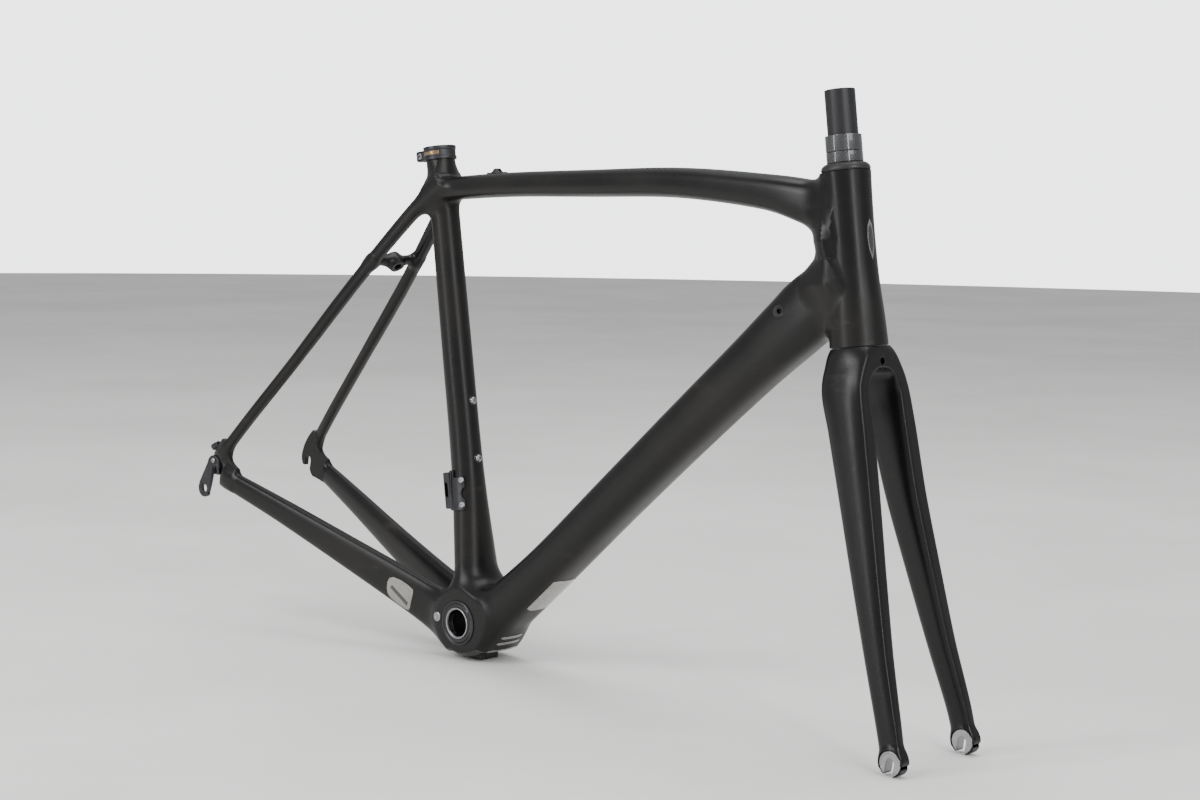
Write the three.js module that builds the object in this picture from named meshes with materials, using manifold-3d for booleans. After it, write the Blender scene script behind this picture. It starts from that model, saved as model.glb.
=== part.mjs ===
// Carbon road-bicycle frameset: a bonded frame, its fork, headset, bottom-bracket bearings and
// small fittings. Millimetres.
//
// Tube data is in bicycle coordinates: origin at the centre of the bottom bracket, +X forward,
// +Y to the rider's left, +Z up, with both wheel axles at one height. The whole group is then
// leaned nose-down, as a frameset without wheels stands: on its two fork tips and on the cable
// guide under the bottom bracket, with the floor at z = 0.
import * as THREE from 'three';
import { mergeVertices } from 'three/addons/utils/BufferGeometryUtils.js';
import Module from 'manifold-3d';

const wasm = await Module();
wasm.setup();

const rad = THREE.MathUtils.degToRad;

// ---------------------------------------------------------------- driving dimensions
const gap = 0.3;                      // bond line, or running clearance, between two pieces

const reach = 399.6;                  // bottom bracket to top of head tube, forward
const stack = 566.8;                  // bottom bracket to top of head tube, upward
const headAngle = 73.1;
const headLength = 161.5;
const seatAngle = 72.5;
const seatLength = 520;
const chainstayLength = 407;
const bottomBracketDrop = 67.7;
const forkRake = 44.1;
const axleToCrown = 373.4;            // along the steering axis, from the foot of the head tube
const frontSpacing = 100;             // between the fork dropouts
const rearSpacing = 130;              // between the rear dropouts
const bottomBracketHeight = 42.5;     // of its centre above the floor, as the frameset stands
const originForward = 98;             // middle of the overall length, ahead of the bottom bracket
const frontAxleHeight = 12.8;         // above the floor, as the frameset stands
const forkTipRadius = 13;
const axleSlotFront = 9;
const axleSlotRear = 10;

// ---------------------------------------------------------------- derived places
const steerLean = rad(90 - headAngle);
const steerUp = new THREE.Vector3(-Math.sin(steerLean), 0, Math.cos(steerLean));
const steerForward = new THREE.Vector3(Math.cos(steerLean), 0, Math.sin(steerLean));
const headTop = new THREE.Vector3(reach, 0, stack);
const headFoot = headTop.clone().addScaledVector(steerUp, -headLength);
const frontAxle = headFoot.clone()
  .addScaledVector(steerUp, -axleToCrown)
  .addScaledVector(steerForward, forkRake);
const rearAxle = new THREE.Vector3(
  -Math.sqrt(chainstayLength ** 2 - bottomBracketDrop ** 2), 0, bottomBracketDrop);
const seatLean = rad(90 - seatAngle);
const standTilt = Math.atan2(frontAxle.z, frontAxle.x)
  + Math.asin((bottomBracketHeight - frontAxleHeight) / Math.hypot(frontAxle.x, frontAxle.z));

// ---------------------------------------------------------------- materials
function material(color, roughness, metalness) {
  return new THREE.MeshStandardMaterial({ color, roughness, metalness });
}
const satinCarbon = material(0x17171a, 0.42, 0.0);
const forkCarbon = material(0x141417, 0.34, 0.0);
const wovenCarbon = material(0x1d1e22, 0.2, 0.1);
const darkAlloy = material(0x2b2c30, 0.38, 0.9);
const silverAlloy = material(0xb9bcc0, 0.3, 1.0);
const bearingSteel = material(0x9a9ea4, 0.22, 1.0);
const boltSteel = material(0x6f7278, 0.32, 1.0);
const blackPlastic = material(0x0d0d0f, 0.55, 0.0);
const guardFilm = material(0xa7a39d, 0.35, 0.6);

// ---------------------------------------------------------------- solids and booleans
function solid(geometry, matrix) {
  const bare = geometry.clone();
  if (matrix) bare.applyMatrix4(matrix);
  bare.deleteAttribute('normal');
  bare.deleteAttribute('uv');
  const merged = mergeVertices(bare, 1e-3);
  const corners = merged.index.array;
  const faces = [];
  for (let i = 0; i < corners.length; i += 3) {
    const [a, b, c] = [corners[i], corners[i + 1], corners[i + 2]];
    if (a !== b && b !== c && c !== a) faces.push(a, b, c);
  }
  return new wasm.Manifold(new wasm.Mesh({
    numProp: 3,
    vertProperties: new Float32Array(merged.attributes.position.array),
    triVerts: new Uint32Array(faces),
  }));
}

function cut(body, ...tools) {
  return tools.reduce((left, tool) => left.subtract(tool), body);
}

function join(body, ...others) {
  return others.reduce((left, other) => left.add(other), body);
}

function geometryOf(body) {
  const mesh = body.getMesh();
  const geometry = new THREE.BufferGeometry();
  geometry.setAttribute('position', new THREE.BufferAttribute(new Float32Array(mesh.vertProperties), 3));
  geometry.setIndex(new THREE.BufferAttribute(new Uint32Array(mesh.triVerts), 1));
  geometry.computeVertexNormals();
  return geometry;
}

function piece(name, shape, finish, parent) {
  const geometry = shape.isBufferGeometry ? shape : geometryOf(shape);
  const mesh = new THREE.Mesh(geometry, finish);
  mesh.name = name;
  parent.add(mesh);
  return mesh;
}

// A tube lofted through stations [x, y, z, wide, deep]. Wide is across the bicycle, deep is at
// right angles to it and to the tube. A squareness of 2 is an ellipse and more is boxier.
function tube(stations, { squareness = 2.5, sides = 20, steps = 10, grow = 0, overrun = 0 } = {}) {
  const path = new THREE.CatmullRomCurve3(
    stations.map(([x, y, z]) => new THREE.Vector3(x, y, z)), false, 'catmullrom', 0.5);
  const size = new THREE.CatmullRomCurve3(
    stations.map(([, , , wide, deep]) => new THREE.Vector3(wide, deep, 0)), false, 'catmullrom', 0.5);
  const vertices = [];
  for (let step = 0; step <= steps; step += 1) {
    const centre = path.getPoint(step / steps);
    const along = path.getTangent(step / steps);
    const end = step === 0 ? -overrun : step === steps ? overrun : 0;
    centre.addScaledVector(along, end);
    const across = new THREE.Vector3(0, 1, 0).addScaledVector(along, -along.y).normalize();
    const over = new THREE.Vector3().crossVectors(along, across);
    const { x: wide, y: deep } = size.getPoint(step / steps);
    for (let side = 0; side < sides; side += 1) {
      const angle = 2 * Math.PI * side / sides;
      const power = 2 / squareness;
      const u = (wide / 2 + grow) * Math.sign(Math.cos(angle)) * Math.abs(Math.cos(angle)) ** power;
      const v = (deep / 2 + grow) * Math.sign(Math.sin(angle)) * Math.abs(Math.sin(angle)) ** power;
      vertices.push(centre.clone().addScaledVector(across, u).addScaledVector(over, v));
    }
  }
  const faces = [];
  for (let step = 0; step < steps; step += 1) {
    for (let side = 0; side < sides; side += 1) {
      const a = step * sides + side;
      const b = step * sides + (side + 1) % sides;
      faces.push(a, b, b + sides, a, b + sides, a + sides);
    }
  }
  for (let side = 1; side < sides - 1; side += 1) {
    faces.push(0, side + 1, side);
    const last = steps * sides;
    faces.push(last, last + side, last + side + 1);
  }
  const geometry = new THREE.BufferGeometry().setFromPoints(vertices);
  geometry.setIndex(faces);
  return solid(geometry);
}

// A closed profile of [radius, height] points turned about Z.
function turned(profile, segments = 24) {
  const points = [...profile, profile[0]].map(([r, h]) => new THREE.Vector2(r, h));
  return solid(new THREE.LatheGeometry(points, segments), new THREE.Matrix4().makeRotationX(Math.PI / 2));
}

// A full disc or cone, whose profile starts and ends on the axis.
function turnedSolid(profile, segments = 24) {
  const first = profile[0];
  const last = profile[profile.length - 1];
  const points = [[0, first[1]], ...profile, [0, last[1]]].map(([r, h]) => new THREE.Vector2(r, h));
  return solid(new THREE.LatheGeometry(points, segments), new THREE.Matrix4().makeRotationX(Math.PI / 2));
}

// A plate whose outline is drawn in bicycle X and Z, between two Y values.
function plate(shape, fromY, toY, curveSegments = 6) {
  const geometry = new THREE.ExtrudeGeometry(shape, {
    depth: toY - fromY, bevelEnabled: false, curveSegments,
  });
  const upright = new THREE.Matrix4().makeRotationX(Math.PI / 2);
  return solid(geometry, upright.premultiply(new THREE.Matrix4().makeTranslation(0, toY, 0)));
}

function box(wide, deep, tall, x, y, z) {
  return solid(new THREE.BoxGeometry(wide, deep, tall), new THREE.Matrix4().makeTranslation(x, y, z));
}

function rod(radius, length, segments = 16) {
  return turnedSolid([[radius, -length / 2], [radius, length / 2]], segments);
}

// Turns a body made about +Z so that its axis points along a direction, and moves it to a point.
function aim(body, direction, point) {
  const turn = new THREE.Quaternion().setFromUnitVectors(
    new THREE.Vector3(0, 0, 1), direction.clone().normalize());
  const place = new THREE.Matrix4().compose(point, turn, new THREE.Vector3(1, 1, 1));
  return solid(geometryOf(body), place);
}

const leftward = new THREE.Vector3(0, 1, 0);
const rightward = new THREE.Vector3(0, -1, 0);

// ---------------------------------------------------------------- groups
const part = new THREE.Group();
const frameset = new THREE.Group();
frameset.rotation.y = standTilt;
frameset.position.set(-originForward, 0, bottomBracketHeight);
part.add(frameset);

const steering = new THREE.Group();   // origin at the foot of the head tube, +Z up its axis
steering.position.copy(headFoot);
steering.rotation.y = -steerLean;
frameset.add(steering);
steering.updateMatrix();

const bottomBracket = new THREE.Group();   // +Z along the axle, to the rider's left
bottomBracket.rotation.x = -Math.PI / 2;
frameset.add(bottomBracket);
bottomBracket.updateMatrix();

const seat = new THREE.Group();       // +Z up the seat tube, +X square to it and forward
seat.rotation.y = -seatLean;
frameset.add(seat);
seat.updateMatrix();
const seatUp = new THREE.Vector3(-Math.sin(seatLean), 0, Math.cos(seatLean));
const seatForward = new THREE.Vector3(Math.cos(seatLean), 0, Math.sin(seatLean));

// ---------------------------------------------------------------- head tube
const headSections = [[27, 0], [27, 6], [26, 20], [23.2, 60], [22.2, 110], [22.8, 146], [23.3, 155]];
const lowerSeat = { radius: 23.9, depth: 8 };
const upperSeat = { radius: 21.3, depth: 7.5 };
const headBore = 18.5;

function headTubeOuter(grow) {
  const outline = headSections.map(([r, h]) => [r + grow, h]);
  outline[0][1] -= grow;
  return turnedSolid([...outline, [headSections.at(-1)[0] + grow, headLength + grow]], 24);
}

function headTube() {
  return turned([
    ...headSections, [23.3, headLength],
    [upperSeat.radius, headLength], [upperSeat.radius, headLength - upperSeat.depth],
    [headBore, headLength - upperSeat.depth - 1], [headBore, lowerSeat.depth + 1],
    [lowerSeat.radius, lowerSeat.depth], [lowerSeat.radius, 0],
  ], 24);
}
const headKeepOut = solid(geometryOf(headTubeOuter(gap)), steering.matrix);

// ---------------------------------------------------------------- bottom bracket shell
const shellHalf = 34;
const shellBore = 23;
const shellOuter = [[33, -shellHalf], [35.5, -32], [38.2, -26], [38.2, 26], [35.5, 32], [33, shellHalf]];

const shellKeepOut = solid(
  geometryOf(turnedSolid(shellOuter.map(([r, h]) => [r + gap, h * (1 + gap / shellHalf)]), 24)),
  bottomBracket.matrix);

// ---------------------------------------------------------------- frame tubes
const wall = 1.8;
const seatStations = [[0, 66, 42], [67, 51, 40], [168, 34.5, 37], [299, 32.3, 34.4],
  [420, 31.4, 32.4], [seatLength, 31.2, 31.2]].map(([up, wide, deep]) => {
  const centre = seatUp.clone().multiplyScalar(up);
  return [centre.x, 0, centre.z, wide, deep];
});
const topStations = [[-146, 0, 452, 34, 25], [-40, 0, 476, 38, 26], [80, 0, 499, 40, 28],
  [200, 0, 521, 42, 30], [320, 0, 532, 44, 35], [412, 0, 532, 46, 50]];
const downStations = [[20, 0, 4, 62, 52], [97, 0, 91, 57, 46], [176, 0, 187, 54, 47],
  [256, 0, 283, 52, 50], [325, 0, 364, 50, 54], [388, 0, 436, 48, 64], [414, 0, 465, 46, 66]];
const chainstayStations = [[-16, 20, -8, 20, 52], [-83, 24, 5, 18.5, 46], [-183, 38, 24.5, 17.5, 37],
  [-291, 56, 46, 16, 28], [-384, 72, 63, 14, 23]];
const seatstayStations = [[-134, 12, 461, 16, 19], [-169, 23, 416, 14.5, 15.5],
  [-230, 39, 328, 13.3, 13.7], [-299, 51, 228, 13, 12.4], [-357, 62, 146, 13, 12],
  [-396, 70, 88, 12.5, 12.5]];

function onSide(stations, side) {
  return stations.map(([x, y, ...rest]) => [x, side * y, ...rest]);
}

const seatShape = { squareness: 2, sides: 18, steps: 6 };
const downShape = { squareness: 3, sides: 16, steps: 6 };
const topShape = { squareness: 2.6, sides: 14, steps: 6 };
const stayShape = { squareness: 2.6, sides: 10, steps: 5 };

const seatOuter = tube(seatStations, { ...seatShape, grow: gap, overrun: 1 });
const downOuter = tube(downStations, { ...downShape, grow: gap });
const topOuter = tube(topStations, { ...topShape, grow: gap });

function hollow(stations, shape, thickness, ...keepOuts) {
  const outer = tube(stations, shape);
  const inner = tube(stations, { ...shape, sides: 8, steps: 4, grow: -thickness, overrun: 4 });
  return cut(outer, ...keepOuts, inner);
}

// ---------------------------------------------------------------- rear dropouts
const dropoutInner = rearSpacing / 2;
const dropoutThick = 6;
const rearSlotHalf = axleSlotRear / 2;
const hubRoom = 12;                   // the stays are cut back this far on the hub's side of a dropout

function dropoutOutline(grow) {
  const { x, z } = rearAxle;
  const front = x + rearSlotHalf - grow;
  const back = x - rearSlotHalf + grow;
  const shape = new THREE.Shape();
  shape.moveTo(back, z - 8 - grow);
  shape.lineTo(x - 9 - grow, z - 8 - grow);
  shape.quadraticCurveTo(x - 14 - grow, z - 3, x - 13 - grow, z + 6);
  shape.quadraticCurveTo(x - 10 - grow, z + 24, x + 3, z + 38 + grow);
  shape.lineTo(x + 14 + grow, z + 32 + grow);
  shape.quadraticCurveTo(x + 15 + grow, z + 14, x + 34 + grow, z + 9 + grow);
  shape.lineTo(x + 31 + grow, z - 15 - grow);
  shape.lineTo(x + 12, z - 17 - grow);
  shape.lineTo(front, z - 11);
  shape.lineTo(front, z);
  shape.absarc(x, z, rearSlotHalf - grow, 0, Math.PI, false);
  shape.closePath();
  return shape;
}

function dropout(side, grow, inward = 0) {
  const near = dropoutInner - grow - inward;
  const far = dropoutInner + dropoutThick + grow;
  return side > 0 ? plate(dropoutOutline(grow), near, far) : plate(dropoutOutline(grow), -far, -near);
}

const hangerInner = dropoutInner + dropoutThick + gap;
const hangerThick = 5;
const derailleurHole = { x: rearAxle.x - 17.5, z: rearAxle.z - 28, radius: 5 };

// The replaceable hanger: it arches over the axle slot and hangs down to the derailleur hole.
function derailleurHanger() {
  const { x, z } = rearAxle;
  const shape = new THREE.Shape();
  shape.moveTo(x - rearSlotHalf, z - 8);
  shape.quadraticCurveTo(x - 7, z - 24, x - 9.5, z - 33);
  shape.absarc(derailleurHole.x, derailleurHole.z, 10.5, rad(-25), rad(-180), true);
  shape.lineTo(x - 27, z - 22);
  shape.lineTo(x - 15, z + 5);
  shape.absarc(x - 3, z + 4.5, 12, rad(170), rad(40), true);
  shape.lineTo(x + 9, z - 3);
  shape.lineTo(x + rearSlotHalf, z - 6);
  shape.lineTo(x + rearSlotHalf, z);
  shape.absarc(x, z, rearSlotHalf, 0, Math.PI, false);
  shape.closePath();
  const hole = aim(rod(derailleurHole.radius, 40, 20), new THREE.Vector3(0, 1, 0),
    new THREE.Vector3(derailleurHole.x, -hangerInner, derailleurHole.z));
  return cut(plate(shape, -hangerInner - hangerThick, -hangerInner), hole);
}

const hangerBoltPoint = new THREE.Vector3(
  rearAxle.x - 3.5, -hangerInner - hangerThick, rearAxle.z + 10.5);
const hangerHole = aim(rod(1.6 + gap, 30, 12), rightward, hangerBoltPoint);

// ---------------------------------------------------------------- frame tubes, bonded together
piece('head_tube', headTube(), satinCarbon, steering);

const guideScrew = { radius: 2.3, head: 3.6, reach: 9, seat: 40.3 };
const standDown = new THREE.Vector3(Math.sin(standTilt), 0, -Math.cos(standTilt));
const guideScrewHole = aim(rod(guideScrew.radius + gap, 30), standDown,
  standDown.clone().multiplyScalar(36));
const shellBody = solid(geometryOf(turned([
  ...shellOuter, [shellBore, shellHalf], [shellBore, -shellHalf],
], 24)), bottomBracket.matrix);
const plugStem = 2.2;
const plugPoint = new THREE.Vector3(-33, -shellHalf, -3);
const plugHole = aim(rod(plugStem + gap, 16, 12), rightward, plugPoint);
piece('bottom_bracket_shell', cut(shellBody, guideScrewHole, plugHole), satinCarbon, frameset);

const boltRadius = 2.3;
const boltHead = { radius: 4, height: 2.6 };
const boltSpacing = 64;

// Where a line square to a tube leaves its surface: the tube centre at a share of its length,
// moved by half its depth.
function onTube(stations, share, face) {
  const path = new THREE.CatmullRomCurve3(
    stations.map(([x, y, z]) => new THREE.Vector3(x, y, z)), false, 'catmullrom', 0.5);
  const size = new THREE.CatmullRomCurve3(
    stations.map(([, , , wide, deep]) => new THREE.Vector3(wide, deep, 0)), false, 'catmullrom', 0.5);
  const along = path.getTangent(share);
  const outward = new THREE.Vector3().crossVectors(along, new THREE.Vector3(0, 1, 0))
    .multiplyScalar(face);
  const surface = path.getPoint(share).addScaledVector(outward, size.getPoint(share).y / 2);
  return { surface, outward, along };
}

function bolt(place) {
  const body = turnedSolid([[boltRadius, -12], [boltRadius, gap], [boltHead.radius, gap],
    [boltHead.radius, gap + 1.6], [boltHead.radius - 1, gap + boltHead.height]], 12);
  const socket = turnedSolid([[1.5, 1.6], [1.5, 4]], 6);
  return aim(cut(body, socket), place.outward, place.surface);
}

function boltHole(place) {
  return aim(rod(boltRadius + gap, 24, 12), place.outward, place.surface);
}

const downBolts = [onTube(downStations, 0.388, 1), onTube(downStations, 0.474, 1)];
const seatBolts = [onTube(seatStations, 0.415, -1), onTube(seatStations, 0.512, -1)];

const portPlaces = [-1, 1].map((side) => ({
  surface: new THREE.Vector3(366, side * 23.4, 428),
  outward: new THREE.Vector3(0.5, side * 0.8, 0.33).normalize(),
}));

function cablePort(place) {
  const body = turned([[2.4, -6], [4.2, -6], [4.2, 0.6], [5.6, 0.9], [5.2, 2.4], [2.4, 2.8]], 14);
  return aim(body, place.outward, place.surface);
}

function cablePortHole(place) {
  return aim(turnedSolid([[4.2 + gap, -14], [4.2 + gap, 0.3], [6, 0.6], [6, 12]], 14),
    place.outward, place.surface);
}

const bracketFoot = 122;              // of the front-derailleur bracket, along the seat tube
const bracketTall = 48;
const bracketBolts = [[8.5, bracketFoot + 6, 18.3], [8.5, bracketFoot + 33, 16.6]];

function bracketBoltPlace([forward, up, outboard]) {
  const point = seatUp.clone().multiplyScalar(up).addScaledVector(seatForward, forward);
  const outward = rightward.clone().addScaledVector(seatForward, 0.32).normalize();
  return { surface: point.setY(-outboard), outward };
}

function bracketBoltHole(spot) {
  const { surface, outward } = bracketBoltPlace(spot);
  return aim(rod(1.9 + gap, 20, 12), outward, surface);
}

const seatSlot = box(14, 2, 34, -14, 0, seatLength - 14);
const postBore = { radius: 13.75, depth: 160 };      // for a 27.2 mm seatpost
const postWay = aim(rod(postBore.radius, 2 * postBore.depth, 24), seatUp,
  seatUp.clone().multiplyScalar(seatLength));
const seatTubeBody = cut(
  hollow(seatStations, seatShape, wall, shellKeepOut),
  postWay,
  solid(geometryOf(seatSlot), seat.matrix),
  ...seatBolts.map(boltHole), ...bracketBolts.map(bracketBoltHole));
piece('seat_tube', seatTubeBody, satinCarbon, frameset);

const downTubeBody = cut(
  hollow(downStations, downShape, wall, headKeepOut, shellKeepOut, seatOuter),
  ...downBolts.map(boltHole), ...portPlaces.map(cablePortHole));
piece('down_tube', downTubeBody, satinCarbon, frameset);
piece('top_tube', hollow(topStations, topShape, wall, headKeepOut, seatOuter, downOuter),
  satinCarbon, frameset);

for (const [name, side] of [['right', -1], ['left', 1]]) {
  const keepOut = dropout(side, gap, hubRoom);
  const chainstay = onSide(chainstayStations, side);
  const seatstay = onSide(seatstayStations, side);
  piece(`dropout_${name}`, cut(dropout(side, 0), hangerHole), satinCarbon, frameset);
  piece(`chainstay_${name}`, hollow(chainstay, stayShape, wall,
    shellKeepOut, seatOuter, downOuter, keepOut), satinCarbon, frameset);
  piece(`seatstay_${name}`, hollow(seatstay, stayShape, wall,
    seatOuter, topOuter, keepOut), satinCarbon, frameset);
}

// ---------------------------------------------------------------- brake bridge
const bridgeCentre = new THREE.Vector3(-209, 0, 358);
const bridgeBolt = new THREE.Vector3(-0.818, 0, 0.575);   // square to the seatstays
const bridgeRadius = 6;
const brakeHole = 4;

function brakeBridge() {
  const across = aim(turnedSolid([[bridgeRadius, -32], [bridgeRadius, 32]], 14),
    new THREE.Vector3(0, 1, 0), bridgeCentre);
  const boss = aim(turnedSolid([[8.4, -8], [9.4, -6], [9.4, 6], [8.4, 8]], 18), bridgeBolt, bridgeCentre);
  const hole = aim(rod(brakeHole, 30), bridgeBolt, bridgeCentre);
  const stays = [-1, 1].map((side) => tube(onSide(seatstayStations, side), { ...stayShape, grow: gap }));
  return cut(join(across, boss), hole, ...stays);
}
piece('brake_bridge', brakeBridge(), satinCarbon, frameset);

// ---------------------------------------------------------------- hanger and rear fittings
const hangerBolt = cut(
  turnedSolid([[1.6, -9], [1.6, gap], [3.2, gap], [2.6, 1.9]], 12),
  turnedSolid([[1.2, 1], [1.2, 4]], 6));
piece('derailleur_hanger', cut(derailleurHanger(), hangerHole), darkAlloy, frameset);
piece('hanger_bolt', aim(hangerBolt, rightward, hangerBoltPoint), boltSteel, frameset);

// The rear housing stop leans along the back of the seatstay foot.
const rearStop = aim(
  turned([[1.6, -6], [3.6, -6], [3.9, 3], [4.3, 5], [2.6, 5], [2.6, -2], [1.6, -2]], 14),
  new THREE.Vector3(-0.7, 0, -0.5), new THREE.Vector3(rearAxle.x - 11.5, -68, rearAxle.z + 26));
piece('rear_cable_stop', cut(rearStop, dropout(-1, gap),
  tube(onSide(seatstayStations, -1), { ...stayShape, grow: gap })), darkAlloy, frameset);

// ---------------------------------------------------------------- seat collar
const collarFoot = 507;               // along the seat tube
const collarTall = 14.5;
const collarInner = 16.05;
const collarOuter = 18;
const earMiddle = { x: -25, z: collarFoot + 7 };

function seatCollar() {
  const ring = turned([
    [collarInner, collarFoot], [collarOuter, collarFoot], [collarOuter, collarFoot + 3.4],
    [collarOuter - 0.6, collarFoot + 3.9], [collarOuter - 0.6, collarFoot + 10.2],
    [collarOuter, collarFoot + 10.7], [collarOuter, collarFoot + collarTall],
    [14.2, collarFoot + collarTall], [14.2, seatLength + gap], [collarInner, seatLength + gap],
  ], 20);
  const ears = box(15, 17, 11.5, -23.5, 0, earMiddle.z);
  const bore = turnedSolid([[collarInner, collarFoot - 5], [collarInner, seatLength + gap]], 20);
  const split = box(22, 1.8, 30, -24, 0, earMiddle.z);
  const boltWay = aim(rod(2.5 + gap, 60, 12), new THREE.Vector3(0, 1, 0),
    new THREE.Vector3(earMiddle.x, 0, earMiddle.z));
  const headPocket = aim(rod(4.2 + gap, 5, 16), new THREE.Vector3(0, 1, 0),
    new THREE.Vector3(earMiddle.x, -8.5, earMiddle.z));
  const nutPocket = aim(rod(4 + gap, 16, 16), new THREE.Vector3(0, 0, 1),
    new THREE.Vector3(earMiddle.x, 5.6, earMiddle.z));
  return cut(join(ring, cut(ears, bore)), split, boltWay, headPocket, nutPocket);
}
piece('seat_collar', seatCollar(), darkAlloy, seat);

piece('seat_collar_bolt', aim(cut(
  turnedSolid([[4.2, -2.3], [4.2, 0], [2.5, 0], [2.5, 16]], 16),
  turnedSolid([[2, -4], [2, -0.8]], 6)), leftward,
new THREE.Vector3(earMiddle.x, -6.4, earMiddle.z)), boltSteel, seat);
piece('seat_collar_nut', cut(
  aim(rod(4, 10.6, 16), new THREE.Vector3(0, 0, 1), new THREE.Vector3(earMiddle.x, 5.6, earMiddle.z)),
  aim(rod(2.5 + gap, 20, 12), leftward, new THREE.Vector3(earMiddle.x, 5.6, earMiddle.z))),
boltSteel, seat);

// ---------------------------------------------------------------- front derailleur bracket
// A saddle that follows the right side of the seat tube, with a slotted flange behind it.
function derailleurBracket() {
  const skin = cut(tube(seatStations, { ...seatShape, grow: 2.6 }), seatOuter);
  const middle = bracketFoot + bracketTall / 2 - 6;
  const frontWindow = solid(new THREE.BoxGeometry(18, 12, bracketTall - 12), new THREE.Matrix4()
    .makeTranslation(2, -20, middle).premultiply(seat.matrix));
  const saddle = skin.intersect(frontWindow);
  const backWindow = solid(new THREE.BoxGeometry(10, 10, bracketTall - 4), new THREE.Matrix4()
    .makeTranslation(-8, -19, middle + 4).premultiply(seat.matrix));
  const flange = solid(new THREE.BoxGeometry(9, 7, bracketTall - 8), new THREE.Matrix4()
    .makeTranslation(-13, -18.5, middle + 4).premultiply(seat.matrix));
  const slot = solid(new THREE.BoxGeometry(4.4, 30, 16), new THREE.Matrix4()
    .makeTranslation(-13.6, -18.5, middle + 5).premultiply(seat.matrix));
  const bite = solid(new THREE.CylinderGeometry(8, 8, 30, 18), new THREE.Matrix4()
    .makeTranslation(15.5, -20, middle));
  const biteInPlace = solid(geometryOf(bite), seat.matrix);
  const body = join(saddle, skin.intersect(backWindow), cut(flange, seatOuter));
  return cut(body, slot, biteInPlace, ...bracketBolts.map(bracketBoltHole));
}
piece('front_derailleur_bracket', derailleurBracket(), darkAlloy, frameset);

for (const [index, spot] of bracketBolts.entries()) {
  const { surface, outward } = bracketBoltPlace(spot);
  const body = cut(
    turnedSolid([[1.9, -7], [1.9, 3], [3.5, 3], [3.1, 4.8]], 12),
    turnedSolid([[1.2, 3.9], [1.2, 6]], 6));
  piece(`front_derailleur_bolt_${index === 0 ? 'lower' : 'upper'}`, aim(body, outward, surface),
    silverAlloy, frameset);
}

// ---------------------------------------------------------------- bottle bolts and cable fittings
for (const [name, place] of [['down_tube_lower', downBolts[0]], ['down_tube_upper', downBolts[1]],
  ['seat_tube_upper', seatBolts[0]], ['seat_tube_lower', seatBolts[1]]]) {
  piece(`bottle_bolt_${name}`, bolt(place), boltSteel, frameset);
}
portPlaces.forEach((place, index) => {
  piece(`cable_port_${index === 0 ? 'right' : 'left'}`, cablePort(place), blackPlastic, frameset);
});

// The rear brake housing leaves the top tube through this small ramped stop.
function topTubeStop() {
  const { surface, outward, along } = onTube(topStations, 0.14, 1);
  const ramp = new THREE.Shape();
  ramp.moveTo(-12, -2);
  ramp.lineTo(-12, 1);
  ramp.lineTo(-4, 5);
  ramp.lineTo(-1, 5.4);
  ramp.lineTo(4, 3);
  ramp.lineTo(12, 1);
  ramp.lineTo(12, -2);
  ramp.closePath();
  const body = plate(ramp, -5, 5);
  const cableHole = aim(rod(1.6, 14, 10), new THREE.Vector3(1, 0, 0.3), new THREE.Vector3(-8, 0, 2.2));
  const turn = new THREE.Matrix4().makeBasis(along, new THREE.Vector3(0, 1, 0), outward);
  turn.setPosition(surface);
  return cut(solid(geometryOf(cut(body, cableHole)), turn), topOuter);
}
piece('top_tube_cable_stop', topTubeStop(), blackPlastic, frameset);

// The chainstay plate and the plug beside the bottom bracket sit on the flat right-hand side.
function chainstayGuard() {
  const outline = new THREE.Shape();
  outline.moveTo(-117, 2);
  outline.quadraticCurveTo(-118, 17, -109, 19);
  outline.quadraticCurveTo(-92, 20, -78, 13);
  outline.lineTo(-82, -13);
  outline.quadraticCurveTo(-98, -12, -112, -6);
  outline.closePath();
  const skin = cut(
    tube(onSide(chainstayStations, -1), { ...stayShape, grow: 1.3 }),
    tube(onSide(chainstayStations, -1), { ...stayShape, grow: gap }));
  return skin.intersect(plate(outline, -60, -28));
}
piece('chainstay_guard', chainstayGuard(), guardFilm, frameset);

piece('port_plug', aim(
  turnedSolid([[plugStem, -6], [plugStem, gap], [5.4, gap], [5.4, 1.2], [4.6, 1.7]], 16),
  rightward, plugPoint), silverAlloy, frameset);

// ---------------------------------------------------------------- cable guide under the bottom bracket
function cableGuide() {
  const band = turned([[38.2 + gap, -13], [44.5, -13], [44.5, -8], [42.6, -7.4], [42.6, -4.6], [44.5, -4],
    [44.5, 4], [42.6, 4.6], [42.6, 7.4], [44.5, 8], [44.5, 13], [38.2 + gap, 13]], 24);
  const around = solid(geometryOf(band), bottomBracket.matrix);
  const sector = aim(box(30, 40, 20, 0, 0, 42), standDown, new THREE.Vector3());
  const floor = aim(box(80, 80, 20, 0, 0, bottomBracketHeight + 10), standDown, new THREE.Vector3());
  const headPocket = aim(rod(guideScrew.head + gap, 8), standDown,
    standDown.clone().multiplyScalar(guideScrew.seat - gap + 4));
  return cut(around.intersect(sector), floor, guideScrewHole, headPocket);
}
piece('bb_cable_guide', cableGuide(), blackPlastic, frameset);
piece('bb_guide_screw', aim(cut(
  turnedSolid([[guideScrew.radius, -guideScrew.reach], [guideScrew.radius, 0],
    [guideScrew.head, 0], [guideScrew.head - 0.5, 1.8]], 12),
  turnedSolid([[1.2, 0.6], [1.2, 4]], 6)), standDown,
standDown.clone().multiplyScalar(guideScrew.seat)), boltSteel, frameset);

// ---------------------------------------------------------------- ball bearings
// Grooved races around a ring of balls, centred on the group's origin, with +Z along the axis.
const ballRadius = 1.6;

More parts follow.
